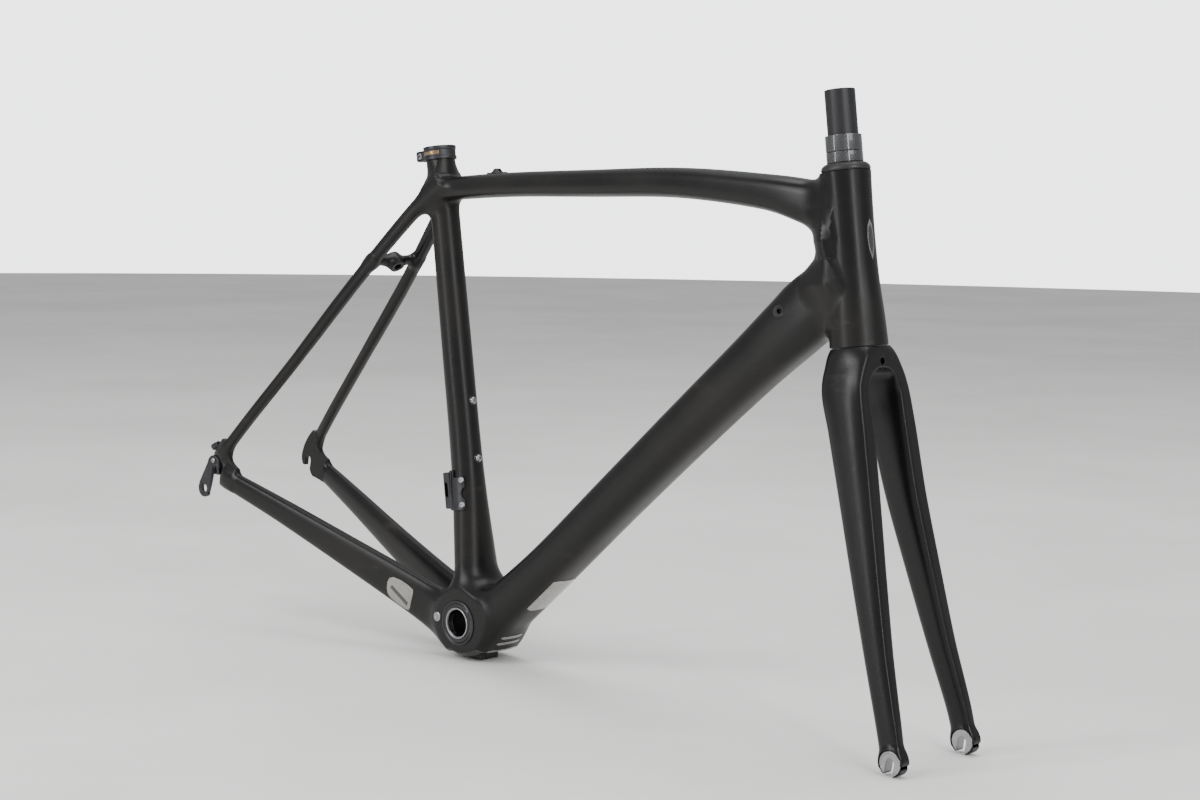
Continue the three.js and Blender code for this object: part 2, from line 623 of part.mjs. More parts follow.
function raceProfile(shoulder, rim, half, grooveSign) {
  const groove = shoulder + grooveSign * 0.9;
  return [[shoulder, -half], [rim, -half], [rim, half], [shoulder, half],
    [shoulder, 2], [groove, 0], [shoulder, -2]];
}

function ballRing(pitch, count) {
  const cage = turned([[pitch - 0.5, -1], [pitch + 0.5, -1], [pitch + 0.5, 1], [pitch - 0.5, 1]], 18);
  const balls = [];
  for (let index = 0; index < count; index += 1) {
    const angle = 2 * Math.PI * (index + 0.5) / count;
    balls.push(solid(new THREE.IcosahedronGeometry(ballRadius, 0), new THREE.Matrix4()
      .makeTranslation(pitch * Math.cos(angle), pitch * Math.sin(angle), 0)));
  }
  return join(cage, ...balls);
}

function bearing(prefix, inner, outer, width, count, group, height) {
  const pitch = (inner + outer) / 2;
  const parts = {
    outer_race: turned(raceProfile(pitch + 1.3, outer, width / 2, 1), 18),
    balls: ballRing(pitch, count),
    inner_race: turned(raceProfile(pitch - 1.3, inner, width / 2, -1).reverse(), 18),
  };
  for (const [name, body] of Object.entries(parts)) {
    piece(`${prefix}_${name}`, body, bearingSteel, group).position.z = height;
  }
}

// ---------------------------------------------------------------- bottom bracket
const cupHalf = shellHalf + gap;
for (const [name, side] of [['right', -1], ['left', 1]]) {
  const group = new THREE.Group();
  group.rotation.x = -side * Math.PI / 2;
  frameset.add(group);
  piece(`bb_cup_${name}`, turned([
    [shellBore - 0.4, 24], [shellBore - 0.4, cupHalf], [25, cupHalf], [25, cupHalf + 0.9],
    [24.4, cupHalf + 1.5], [21.45, cupHalf + 1.5], [21.45, 27.6], [19.6, 27.6], [19.6, 24],
  ], 20), darkAlloy, group);
  bearing(`bb_${name}`, 15, 21, 7, 9, group, 31.5);
  piece(`bb_dust_ring_${name}`, turned([
    [16, 35.3], [18.4, 35.3], [18.4, 35.9], [17.2, 36.6], [16, 36.6]], 18), silverAlloy, group);
}
piece('bb_sleeve', turned([[19.2, -23.6], [20.4, -23.6], [20.4, 23.6], [19.2, 23.6]], 18),
  blackPlastic, bottomBracket);

// ---------------------------------------------------------------- headset
bearing('headset_lower', 17, 23.5, 7, 10, steering, 4.4);
bearing('headset_upper', 15.1, 20.9, 6.5, 9, steering, headLength - 3.9);
piece('crown_race', turned([[16.3, -0.7], [19.6, -0.7], [19.6, 0.1], [17.6, 0.6], [16.3, 0.6]], 18),
  darkAlloy, steering);
piece('compression_ring', cut(
  turned([[14.6, headLength - 0.3], [17.8, headLength - 0.3], [17.2, headLength + 1.6],
    [14.6, headLength + 1.6]], 18),
  box(10, 1.4, 12, -16, 0, headLength)), darkAlloy, steering);
piece('headset_top_cap', turned([
  [18.3, headLength + gap], [23.2, headLength + gap], [22.9, headLength + 2.4],
  [21.2, headLength + 5.6], [18.2, headLength + 8], [14.75, headLength + 8],
  [14.75, headLength + 3.2], [18.3, headLength + 2],
], 24), blackPlastic, steering);

const spacers = [['spacer_lower', 10], ['spacer_upper', 15]];
let spacerFoot = headLength + 8 + gap;
for (const [name, tall] of spacers) {
  piece(name, turned([
    [14.75, 0], [17, 0], [17, tall], [14.75, tall]], 24),
  wovenCarbon, steering).position.z = spacerFoot;
  spacerFoot += tall + gap;
}

// ---------------------------------------------------------------- fork
const steererTop = headLength + 76;
const crownFoot = -34;                // where the legs are bonded to the crown
const legStations = [[2.7, 8, -6, 38, 51], [2.2, 28.5, -36.5, 23, 51], [7.2, 32, -77, 24.6, 47],
  [13.5, 35.5, -142, 24, 41], [22, 42, -212, 21.3, 34.6], [31, 48.5, -281, 18.5, 28.4],
  [40.5, 54.5, -340.4, 15, 25.6], [forkRake, 56.3, -axleToCrown, 12.6, 25]];
const legShape = { squareness: 2.6, sides: 14, steps: 8 };
const aboveCrownFoot = box(200, 200, 100, 0, 0, crownFoot + 50);
const belowCrownFoot = box(200, 200, 400, 0, 0, crownFoot - gap - 200);

piece('steerer_tube', turned([
  [15.9, -9], [15.9, 12], [14.3, 70], [14.3, steererTop],
  [11.6, steererTop], [11.6, 60], [13, 20], [13, -9],
], 24), satinCarbon, steering);

function forkCrown() {
  const hub = turnedSolid([[26, -22], [27.4, -8], [27, -1]], 24);
  const legs = [-1, 1].map((side) => tube(onSide(legStations, side), legShape).intersect(aboveCrownFoot));
  const steererSocket = turnedSolid([[16.2, -9.3], [16.2, 5]], 24);
  const archShape = new THREE.Shape();
  archShape.moveTo(-18, -60);
  archShape.lineTo(-18, -34);
  archShape.absellipse(0, -34, 18, 12.3, Math.PI, 0, true);
  archShape.lineTo(18, -60);
  archShape.closePath();
  const arch = solid(geometryOf(plate(archShape, -60, 60)), new THREE.Matrix4().makeRotationZ(Math.PI / 2));
  const brakeBoltHole = aim(rod(3.2, 120, 14), new THREE.Vector3(1, 0, 0),
    new THREE.Vector3(0, 0, -15.2));
  const above = box(100, 100, 20, 0, 0, 9);
  return cut(join(hub, ...legs), arch, steererSocket, brakeBoltHole, above);
}
piece('fork_crown', forkCrown(), forkCarbon, steering);

const axlePoint = new THREE.Vector3(forkRake, 0, -axleToCrown);
const slotDown = new THREE.Vector3(-Math.sin(steerLean), 0, -Math.cos(steerLean));
const tipInner = frontSpacing / 2 + gap;
const tipOuter = tipInner + 12;
const insertRadius = 11.5;

function axleSlot(grow) {
  const half = axleSlotFront / 2 + grow;
  const mouth = box(2 * half, 30, 60, 0, 0, 30);
  const round = aim(rod(half, 30, 16), leftward, new THREE.Vector3());
  return aim(join(mouth, round), slotDown, axlePoint);
}

for (const [name, side] of [['right', -1], ['left', 1]]) {
  const stations = onSide(legStations, side);
  const middle = new THREE.Vector3(forkRake, side * (tipInner + tipOuter) / 2, -axleToCrown);
  const slot = axleSlot(0).translate([0, side * (tipInner + tipOuter) / 2, 0]);
  const tip = aim(rod(forkTipRadius, tipOuter - tipInner, 24), leftward, middle);
  const outer = tube(stations, legShape).intersect(belowCrownFoot);
  const voidInside = tube(stations.slice(0, -1), { ...legShape, sides: 8, steps: 4, grow: -2.2 });
  const insertHole = aim(rod(insertRadius + gap, 30, 24), leftward, middle);
  piece(`fork_leg_${name}`, cut(join(cut(outer, voidInside), tip), insertHole, slot), forkCarbon, steering);
  const disc = aim(rod(insertRadius, tipOuter - tipInner + 2 * gap, 24), leftward, middle);
  piece(`fork_dropout_${name}`, cut(disc, slot), silverAlloy, steering);
}

export default part;
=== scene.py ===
"""Looks for a carbon road bicycle frame with its fork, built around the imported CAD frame.

Lengths are millimetres in bicycle coordinates (origin at the bottom bracket, +X forward, +Z up),
until to_row() turns them into the row frame, in metres, where the frameset stands on the floor.
"""
import math

import bmesh
import bpy
import numpy as np
from mathutils import Matrix, Vector


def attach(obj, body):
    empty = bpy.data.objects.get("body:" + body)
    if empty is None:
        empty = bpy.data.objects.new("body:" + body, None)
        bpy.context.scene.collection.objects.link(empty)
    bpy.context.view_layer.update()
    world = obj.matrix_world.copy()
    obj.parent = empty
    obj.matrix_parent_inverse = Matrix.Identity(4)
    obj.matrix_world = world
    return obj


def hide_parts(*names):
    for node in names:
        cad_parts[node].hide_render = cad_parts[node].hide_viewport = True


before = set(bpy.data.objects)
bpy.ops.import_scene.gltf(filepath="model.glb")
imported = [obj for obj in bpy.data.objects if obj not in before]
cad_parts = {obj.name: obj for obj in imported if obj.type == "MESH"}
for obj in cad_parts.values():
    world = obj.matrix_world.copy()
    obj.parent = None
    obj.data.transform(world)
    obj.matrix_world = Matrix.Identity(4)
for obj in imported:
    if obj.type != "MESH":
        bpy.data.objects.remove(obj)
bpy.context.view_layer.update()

# ---------------------------------------------------------------- driving dimensions
HEAD_ANGLE = math.radians(73.1)
SEAT_ANGLE = math.radians(72.5)
HEAD_TOP = np.array([399.6, 0.0, 566.8])
HEAD_LENGTH = 161.5
REAR_AXLE = np.array([-401.33, 0.0, 67.7])
FORK_RAKE = 44.1
AXLE_TO_CROWN = 373.4
SHELL_HALF = 34.0
SHELL_BORE = 23.0
ORIGIN_FORWARD = 98.0
BRACKET_HEIGHT = 42.5
FRONT_AXLE_HEIGHT = 12.8

STEER_UP = np.array([-math.cos(HEAD_ANGLE), 0.0, math.sin(HEAD_ANGLE)])
STEER_FORWARD = np.array([math.sin(HEAD_ANGLE), 0.0, math.cos(HEAD_ANGLE)])
HEAD_FOOT = HEAD_TOP - STEER_UP * HEAD_LENGTH
SEAT_UP = np.array([-math.cos(SEAT_ANGLE), 0.0, math.sin(SEAT_ANGLE)])
SEAT_FORWARD = np.array([math.sin(SEAT_ANGLE), 0.0, math.cos(SEAT_ANGLE)])
FRONT_AXLE = HEAD_FOOT - STEER_UP * AXLE_TO_CROWN + STEER_FORWARD * FORK_RAKE
AXLE_REACH = math.hypot(FRONT_AXLE[0], FRONT_AXLE[2])
STAND_TILT = (math.atan2(FRONT_AXLE[2], FRONT_AXLE[0])
              + math.asin((BRACKET_HEIGHT - FRONT_AXLE_HEIGHT) / AXLE_REACH))
LEFT = np.array([0.0, 1.0, 0.0])
RIGHT = -LEFT


def turn_to_row(vectors):
    """Directions from bicycle coordinates to the row frame."""
    v = np.asarray(vectors, float)
    cos, sin = math.cos(STAND_TILT), math.sin(STAND_TILT)
    return np.stack([v[..., 0] * cos + v[..., 2] * sin, v[..., 1],
                     -v[..., 0] * sin + v[..., 2] * cos], -1)


def to_row(points):
    """Points from bicycle millimetres to row metres."""
    return (turn_to_row(points) + [-ORIGIN_FORWARD, 0, BRACKET_HEIGHT]) / 1000


def on_steerer(forward, left, up):
    """A point given from the foot of the head tube, along and square to the steerer."""
    return HEAD_FOOT + STEER_FORWARD * forward + LEFT * left + STEER_UP * up


def on_seat(forward, left, up):
    """A point given from the bottom bracket, along and square to the seat tube."""
    return SEAT_FORWARD * forward + LEFT * left + SEAT_UP * up


# ---------------------------------------------------------------- smooth distance fields
def dot(a, b):
    return (a * b).sum(-1)


def unit(v):
    return v / np.linalg.norm(v, axis=-1, keepdims=True)


def blend(a, b, reach):
    """The union of two fields, filleted where both surfaces are within reach."""
    lower = np.minimum(a, b)
    overlap = np.where(lower < reach, np.maximum(reach - np.abs(a - b), 0) / reach, 0)
    return lower - overlap * overlap * reach / 4


def carve(a, b, reach):
    """Field a with field b taken away, its edge eased over reach."""
    return -blend(-a, b, reach)


FAR = 30.0     # the value of a Tube's field wherever the tube is farther away than this
NEAR = 25.0    # the same for a plate


class Tube:
    """A tube through stations [x, y, z, wide, deep] whose section is a superellipse."""

    def __init__(self, stations, squareness, mirrored=False, sideways=LEFT):
        knots = np.array(stations, float)
        padded = np.vstack([2 * knots[0] - knots[1], knots, 2 * knots[-1] - knots[-2]])
        a, b, c, d = padded[:-3], padded[1:-2], padded[2:-1], padded[3:]
        self.cubic = np.stack([b, (c - a) / 2, a - 2.5 * b + 2 * c - d / 2,
                               (3 * b - a - 3 * c + d) / 2], 1)
        self.last = len(knots) - 1
        self.squareness = squareness
        self.mirrored = mirrored
        self.sideways = sideways
        self.marks = np.linspace(0, self.last, 10 * self.last + 1)
        self.track = self.at(self.marks)[0][:, :3]
        self.reach = knots[:, 3:5].max() / 2 + FAR

    def at(self, place):
        """The station at each place along the tube, and how fast it changes."""
        span = np.clip(place.astype(int), 0, self.last - 1)
        t = (place - span)[:, None]
        k = self.cubic[span]
        value = k[:, 0] + t * (k[:, 1] + t * (k[:, 2] + t * k[:, 3]))
        slope = k[:, 1] + t * (2 * k[:, 2] + 3 * t * k[:, 3])
        return value, slope

    def __call__(self, points):
        p = points
        if self.mirrored:
            p = np.stack([p[:, 0], np.abs(p[:, 1]), p[:, 2]], -1)
        apart = (dot(self.track, self.track)[None] - 2 * p @ self.track.T)
        nearest = apart.argmin(1)
        near = apart[np.arange(len(p)), nearest] + dot(p, p) < self.reach ** 2
        result = np.full(len(p), FAR)
        if not near.any():
            return result
        p = p[near]
        place = self.marks[nearest[near]]
        for _ in range(2):
            value, slope = self.at(place)
            step = dot(p - value[:, :3], slope[:, :3]) / dot(slope[:, :3], slope[:, :3])
            place = np.clip(place + step, 0, self.last)
        value, slope = self.at(place)
        along = unit(slope[:, :3])
        across = unit(self.sideways - along * dot(along, self.sideways)[:, None])
        over = np.cross(along, across)
        offset = p - value[:, :3]
        u = np.abs(dot(offset, across)) / (value[:, 3] / 2) + 1e-6
        v = np.abs(dot(offset, over)) / (value[:, 4] / 2) + 1e-6
        n = self.squareness
        size = (u ** n + v ** n) ** (1 / n)
        steep = size ** (1 - n) * np.hypot(u ** (n - 1) / (value[:, 3] / 2),
                                           v ** (n - 1) / (value[:, 4] / 2))
        side = (size - 1) / steep
        past = dot(offset, along)
        end = np.where(place <= 0, -past, np.where(place >= self.last, past, -FAR))
        result[near] = np.minimum(np.maximum(side, end), FAR)
        return result


def round_bore(centre, axis, radius, start=-1e9, stop=1e9):
    """A straight round hole or rod along an axis through centre."""
    centre, axis = np.asarray(centre, float), unit(np.asarray(axis, float))

    def field(points):
        offset = points - centre
        along = dot(offset, axis)
        away = np.linalg.norm(offset - along[:, None] * axis, axis=1) - radius
        return np.maximum(away, np.maximum(start - along, along - stop))
    return field


def flat_plate(outline, inner, outer, corner=0.0):
    """A plate whose outline is points [x, z], on both sides of the bicycle, between two |y| values."""
    a = np.array(outline, float)
    b = np.roll(a, -1, axis=0)
    low_side, high_side = a.min(0) - NEAR, a.max(0) + NEAR

    def field(points):
        flat = points[:, [0, 2]]
        near = ((flat > low_side) & (flat < high_side)).all(1)
        near &= (np.abs(points[:, 1]) > inner - NEAR) & (np.abs(points[:, 1]) < outer + NEAR)
        result = np.full(len(points), NEAR)
        if near.any():
            result[near] = np.minimum(close_field(points[near]), NEAR)
        return result

    def close_field(points):
        p = points[:, None, [0, 2]]
        edge = b - a
        share = np.clip(dot(p - a, edge) / dot(edge, edge), 0, 1)[..., None]
        away = np.linalg.norm(p - a - share * edge, axis=-1).min(1)
        low = a[:, 1] > p[..., 1]
        high = b[:, 1] > p[..., 1]
        side = edge[:, 0] * (p[..., 1] - a[:, 1]) - (p[..., 0] - a[:, 0]) * edge[:, 1]
        crossing = (low != high) & ((side > 0) == (edge[:, 1] > 0))
        inside = crossing.sum(1) % 2 == 1
        flat = np.where(inside, -away, away) + corner
        y = np.abs(points[:, 1])
        thick = np.maximum(inner - y, y - outer) + corner
        outside = np.hypot(np.maximum(flat, 0), np.maximum(thick, 0))
        return np.minimum(np.maximum(flat, thick), 0) + outside - corner
    return field


# ---------------------------------------------------------------- surface from a field
BLOCK_CELLS = 8
BLOCKS_AT_ONCE = 400


def grid_values(field, low, high, voxel):
    """Field values on a grid. Only blocks near the surface are worked out in full."""
    block = BLOCK_CELLS
    counts = np.ceil((np.array(high) - low) / (voxel * block)).astype(int)
    index = np.stack(np.meshgrid(*[np.arange(n) for n in counts], indexing="ij"), -1).reshape(-1, 3)
    middles = low + (index * block + (block - 1) / 2) * voxel
    coarse = field(middles)
    values = np.empty(tuple(counts * block), np.float32)
    tiles = values.reshape(counts[0], block, counts[1], block, counts[2], block)
    tiles[:] = coarse.reshape(counts)[:, None, :, None, :, None]
    close = np.abs(coarse) < block * voxel * 0.9 + 3
    inner = np.stack(np.meshgrid(*[np.arange(block)] * 3, indexing="ij"), -1).reshape(-1, 3)
    chosen = index[close]
    for first in range(0, len(chosen), BLOCKS_AT_ONCE):
        some = chosen[first:first + BLOCKS_AT_ONCE]
        points = low + (some[:, None] * block + inner[None]) * voxel
        fine = field(points.reshape(-1, 3)).reshape(len(some), block, block, block)
        tiles[some[:, 0], :, some[:, 1], :, some[:, 2], :] = fine
    return values


def surface_net(values, low, voxel):
    """One vertex in each cell that the surface crosses, and one quad for each crossed edge."""
    inside = values < 0
    cell_shape = tuple(n - 1 for n in values.shape)
    count = np.zeros(cell_shape, np.int8)
    total = np.zeros(cell_shape + (3,), np.float32)
    weight = np.zeros(cell_shape, np.float32)
    for dx in (0, 1):
        for dy in (0, 1):
            for dz in (0, 1):
                count += inside[dx:dx + cell_shape[0], dy:dy + cell_shape[1], dz:dz + cell_shape[2]]
    active = (count > 0) & (count < 8)
    for axis in range(3):
        lower = [slice(0, -1) if a == axis else slice(None) for a in range(3)]
        upper = [slice(1, None) if a == axis else slice(None) for a in range(3)]
        first, second = values[tuple(lower)], values[tuple(upper)]
        at = np.argwhere((first < 0) != (second < 0))
        f, s = first[tuple(at.T)], second[tuple(at.T)]
        spot = at.astype(np.float32)
        spot[:, axis] += f / (f - s)
        others = [a for a in range(3) if a != axis]
        for i in (0, 1):
            for j in (0, 1):
                cell = at.copy()
                cell[:, others[0]] -= i
                cell[:, others[1]] -= j
                good = ((cell >= 0) & (cell < cell_shape)).all(1)
                key = tuple(cell[good].T)
                np.add.at(total, key, spot[good])
                np.add.at(weight, key, 1)
    number = np.full(cell_shape, -1)
    number[active] = np.arange(active.sum())
    vertices = low + total[active] / weight[active][:, None] * voxel
    quads = []
    for axis in range(3):
        lower = [slice(0, -1) if a == axis else slice(1, -1) for a in range(3)]
        upper = [slice(1, None) if a == axis else slice(1, -1) for a in range(3)]
        first, second = inside[tuple(lower)], inside[tuple(upper)]
        for entering in (True, False):
            at = np.argwhere((first != second) & (first == entering))
            others = [a for a in range(3) if a != axis]
            at[:, others[0]] += 1
            at[:, others[1]] += 1
            ring = []
            for i, j in ((0, 0), (1, 0), (1, 1), (0, 1)):
                cell = at.copy()
                cell[:, others[0]] -= 1 - i
                cell[:, others[1]] -= 1 - j
                ring.append(number[tuple(cell.T)])
            quad = np.stack(ring, 1)
            flip = entering == (axis == 1)
            quads.append(quad[:, ::-1] if flip else quad)
    return vertices, np.vstack(quads)


def slopes(field, points, step=0.25):
    """The gradient of a field, from differences over a short step each way."""
    columns = []
    for axis in range(3):
        shift = np.zeros(3)
        shift[axis] = step
        columns.append((field(points + shift) - field(points - shift)) / (2 * step))
    return np.stack(columns, 1)


def settle(field, vertices, voxel):
    """Moves vertices onto the surface, by no more than a third of a voxel in each of three steps."""
    slope = slopes(field, vertices)
    steep = np.maximum(dot(slope, slope), 0.05)
    for _ in range(3):
        step = slope * (field(vertices) / steep)[:, None]
        length = np.linalg.norm(step, axis=1, keepdims=True) + 1e-9
        vertices = vertices - step * np.minimum(1, voxel / 3 / length)
    return vertices


def cut_mesh(mesh, centre, normal, around=None):
    """Cuts away what is on the normal's side of a plane, and closes the mesh with a flat face."""
    if around:
        chosen = [f for f in mesh.faces
                  if (f.calc_center_median() - Vector(around[0])).length < around[1]]
    else:
        chosen = list(mesh.faces)
    edges = {e for f in chosen for e in f.edges}
    verts = {v for f in chosen for v in f.verts}
    cut = bmesh.ops.bisect_plane(mesh, geom=list(verts) + list(edges) + chosen, dist=1e-5,
                                 plane_co=Vector(centre), plane_no=Vector(normal), clear_outer=True)
    rim = [e for e in cut["geom_cut"] if isinstance(e, bmesh.types.BMEdge)]
    made = bmesh.ops.triangle_fill(mesh, use_beauty=True, edges=rim, normal=Vector(normal))
    for face in made["geom"]:
        if isinstance(face, bmesh.types.BMFace):
            face.material_index = 1
            face.normal_update()
            if face.normal.dot(Vector(normal)) < 0:
                face.normal_flip()


def moulded(name, field, low, high, voxel, cuts, material):
    """A piece whose skin is the zero surface of a field, with flat ends where it is cut."""
    low = np.array(low, float)
    vertices, quads = surface_net(grid_values(field, low, np.array(high, float), voxel), low, voxel)
    vertices = settle(field, vertices, voxel)
    data = bpy.data.meshes.new(name)
    data.from_pydata(vertices.tolist(), [], quads.tolist())
    mesh = bmesh.new()
    mesh.from_mesh(data)
    for cut in cuts:
        cut_mesh(mesh, *cut)
    loose = [v for v in mesh.verts if not v.link_faces]
    bmesh.ops.delete(mesh, geom=loose, context="VERTS")
    bmesh.ops.triangulate(mesh, faces=mesh.faces[:])
    mesh.to_mesh(data)
    mesh.free()
    finish_mesh(data, field)
    return as_piece(name, data, material)


def finish_mesh(data, field):
    """Moves a moulded mesh to the row frame, and shades it with the field's own normals."""
    count = len(data.vertices)
    points = np.empty(count * 3)
    data.vertices.foreach_get("co", points)
    points = points.reshape(-1, 3)
    normals = unit(turn_to_row(slopes(field, points)) + 1e-9)
    data.vertices.foreach_set("co", to_row(points).ravel())
    data.update()
    corners = np.empty(len(data.loops), int)
    data.loops.foreach_get("vertex_index", corners)
    capped = np.empty(len(data.polygons), int)
    data.polygons.foreach_get("material_index", capped)
    facing = np.empty(len(data.polygons) * 3)
    data.polygons.foreach_get("normal", facing)
    facing = facing.reshape(-1, 3)
    per_corner = normals[corners]
    owner = np.repeat(np.arange(len(capped)), 3)
    on_cap = capped[owner] == 1
    per_corner[on_cap] = facing[owner[on_cap]]
    data.polygons.foreach_set("material_index", np.zeros(len(capped), int))
    data.shade_smooth()
    data.normals_split_custom_set(per_corner.tolist())


def as_piece(name, data, material):
    piece = bpy.data.objects.new(name, data)
    bpy.context.scene.collection.objects.link(piece)
    data.materials.clear()
    data.materials.append(material)
    return piece


def block(centre, axes, halves, corner):
    """A box with rounded edges. Axes are its three directions, halves its half sizes."""
    centre, halves = np.asarray(centre, float), np.asarray(halves, float) - corner
    axes = np.array([unit(np.asarray(a, float)) for a in axes])

    def field(points):
        away = np.abs((points - centre) @ axes.T) - halves
        return (np.linalg.norm(np.maximum(away, 0), axis=1)
                + np.minimum(away.max(1), 0) - corner)
    return field


def ring_about(centre, axis, profile):
    """A ring turned about an axis: profile is its outline of [radius, height] points."""
    centre, axis = np.asarray(centre, float), unit(np.asarray(axis, float))
    outline = flat_plate(profile, -1, 1e6)

    def field(points):
        offset = points - centre
        along = dot(offset, axis)
        away = np.linalg.norm(offset - along[:, None] * axis, axis=1)
        return outline(np.stack([away, np.full(len(away), 1e5), along], 1))
    return field


# ---------------------------------------------------------------- frame shape
def along_line(points_on, rows):
    """Tube stations on a straight line, from rows of [up, wide, deep]."""
    return [[*points_on(0, 0, up), wide, deep] for up, wide, deep in rows]


seat_tube = Tube(along_line(on_seat, [
    [0, 66, 42], [67, 51, 40], [168, 34.5, 37], [299, 32.3, 34.4], [420, 31.4, 32.4], [530, 31.2, 31.2]]), 2)
head_tube = Tube(along_line(on_steerer, [
    [-8, 54.4, 54.4], [28, 51, 51], [64, 46, 46], [100, 44.5, 44.5], [136, 45, 45], [172, 47, 47]]), 2)
top_tube = Tube([
    [-146, 0, 452, 34, 25], [-40, 0, 476, 38, 26], [80, 0, 499, 40, 28], [200, 0, 521, 42, 30],
    [310, 0, 532, 43, 34], [365, 0, 532, 39, 42], [400, 0, 531, 30, 44]], 2.6)
down_tube = Tube([
    [20, 0, 4, 62, 52], [97, 0, 91, 57, 46], [176, 0, 187, 54, 47], [256, 0, 283, 52, 50],
    [325, 0, 364, 50, 54], [380, 0, 427, 46, 62], [404, 0, 455, 38, 56], [416, 0, 470, 30, 44]], 2.7)
chainstays = Tube([
    [-16, 20, -8, 20, 52], [-83, 24, 5, 18.5, 46], [-183, 38, 24.5, 17.5, 37],
    [-291, 56, 46, 16, 28], [-372, 70, 60.5, 13, 23], [-388, 71.5, 63, 9, 20]], 3.0, mirrored=True)
seatstays = Tube([
    [-134, 12, 461, 16, 19], [-169, 23, 416, 14.5, 15.5], [-230, 39, 328, 13.3, 13.7],
    [-299, 51, 228, 13, 12.4], [-357, 62, 146, 13, 12], [-392, 69, 94, 11, 13],
    [-398, 69.5, 84, 8, 11]], 2.6, mirrored=True)


def arc(centre, radius, start, stop, count=12):
    """Points [x, z] on an arc between two angles in degrees."""
    angles = np.radians(np.linspace(start, stop, count))
    return [[centre[0] + radius * math.cos(a), centre[1] + radius * math.sin(a)] for a in angles]


def bow(start, middle, stop, count=8):
    """A quadratic curve between two [x, z] points, without its first point."""
    start, middle, stop = np.array(start), np.array(middle), np.array(stop)
    return [list((1 - t) ** 2 * start + 2 * t * (1 - t) * middle + t * t * stop)
            for t in np.linspace(0, 1, count)[1:]]


def rear_outline():
    """The rear dropout plate around its axle slot, which opens downwards."""
    x, z = REAR_AXLE[0], REAR_AXLE[2]
    return ([[x - 5, z - 8], [x - 9, z - 8]]
            + bow([x - 9, z - 8], [x - 14, z - 3], [x - 13, z + 6])
            + bow([x - 13, z + 6], [x - 10, z + 24], [x + 3, z + 38])
            + [[x + 14, z + 32]]
            + bow([x + 14, z + 32], [x + 15, z + 14], [x + 34, z + 9])
            + [[x + 31, z - 15], [x + 12, z - 17], [x + 5, z - 11]]
            + arc([x, z], 5, 0, 180))


dropout_plates = flat_plate(rear_outline(), 65, 71, corner=0.8)
hub_room = flat_plate([[REAR_AXLE[0] + x, REAR_AXLE[2] + z] for x, z in (
    (-30, -24), (-30, 40), (3, 39), (14, 34), (16, 18), (34, 12), (34, -24))], 50, 65, corner=1)
BRIDGE = np.array([-209.0, 0.0, 358.0])
BRIDGE_BOLT = np.array([-0.818, 0.0, 0.575])
bridge_bar = Tube([[*(BRIDGE + LEFT * y + BRIDGE_BOLT * back), high, 11] for y, high, back in
                   ((-34, 11, 0), (-20, 10.5, 2), (0, 15, 0), (20, 10.5, 2), (34, 11, 0))], 2.2,
                  sideways=np.cross(BRIDGE_BOLT, LEFT))
bridge_boss = round_bore(BRIDGE, BRIDGE_BOLT, 8.6, -8, 8)
bridge_hole = round_bore(BRIDGE, BRIDGE_BOLT, 4, -20, 20)
shell_hole = round_bore([0, 0, 0], LEFT, SHELL_BORE)
head_bore = round_bore(HEAD_FOOT, STEER_UP, 18.5)
lower_seat = round_bore(HEAD_FOOT, STEER_UP, 21.5, -50, 8)
post_bore = round_bore([0, 0, 0], SEAT_UP, 12.0, 380, 600)


def smooth(share):
    """An even start and stop for a share that runs from 0 to 1."""
    return share * share * (3 - 2 * share)


def shell(points):
    """The bottom-bracket shell, which narrows towards its ends."""
    radius = np.hypot(points[:, 0], points[:, 2])
    ease = np.clip((np.abs(points[:, 1]) - 22) / 14, 0, 1)
    return (radius - (38.2 - 5.6 * smooth(ease))) * 0.94


def shell_ends(points):
    return np.abs(points[:, 1]) - SHELL_HALF - 5


def softened(points):
    """Points with Y eased near the middle, so that left and right halves meet smoothly."""
    p = points.copy()
    p[:, 1] = np.sqrt(p[:, 1] ** 2 + 9)
    return p


def trim_shell(whole, points):
    """Flat shell ends, eased away where the chainstays spread out behind them."""
    radius = np.hypot(points[:, 0], points[:, 2])
    room = SHELL_HALF + 0.3 * np.maximum(radius - 42, 0)
    return carve(whole, 0.95 * (room - np.abs(points[:, 1])), 2)


def frame_field(points):
    """The whole frame, with each joint filleted and its bores open."""
    offset = points - HEAD_FOOT
    up = dot(offset, STEER_UP)
    behind = smooth(np.clip((22 - dot(offset, STEER_FORWARD)) / 40, 0.08, 1))
    down_fillet = (16 + 24 * np.clip((up - 30) / 30, 0, 1)) * behind
    top_fillet = (16 + 26 * np.clip((130 - up) / 30, 0, 1)) * behind
    seat_fillet = 5 + 11 * np.clip((340 - dot(points, SEAT_UP)) / 120, 0, 1)
    whole = blend(head_tube(points), down_tube(points), down_fillet)
    whole = blend(whole, top_tube(points), top_fillet)
    whole = blend(whole, seat_tube(points), seat_fillet)
    whole = blend(whole, np.maximum(shell(points), shell_ends(points)), 24)
    eased = softened(points)
    stays = blend(chainstays(eased), seatstays(eased), 10)
    stays = blend(stays, dropout_plates(points), 10)
    stays = blend(stays, blend(bridge_bar(points), bridge_boss(points), 6), 9)
    stays = np.maximum(stays, -hub_room(points))
    whole = blend(whole, stays, 18)
    whole = np.maximum(whole, -shell_hole(points))
    whole = np.maximum(whole, -head_bore(points))
    whole = np.maximum(whole, -lower_seat(points))
    whole = np.maximum(whole, -post_bore(points))
    return trim_shell(carve(whole, bridge_hole(points), 1.5), points)


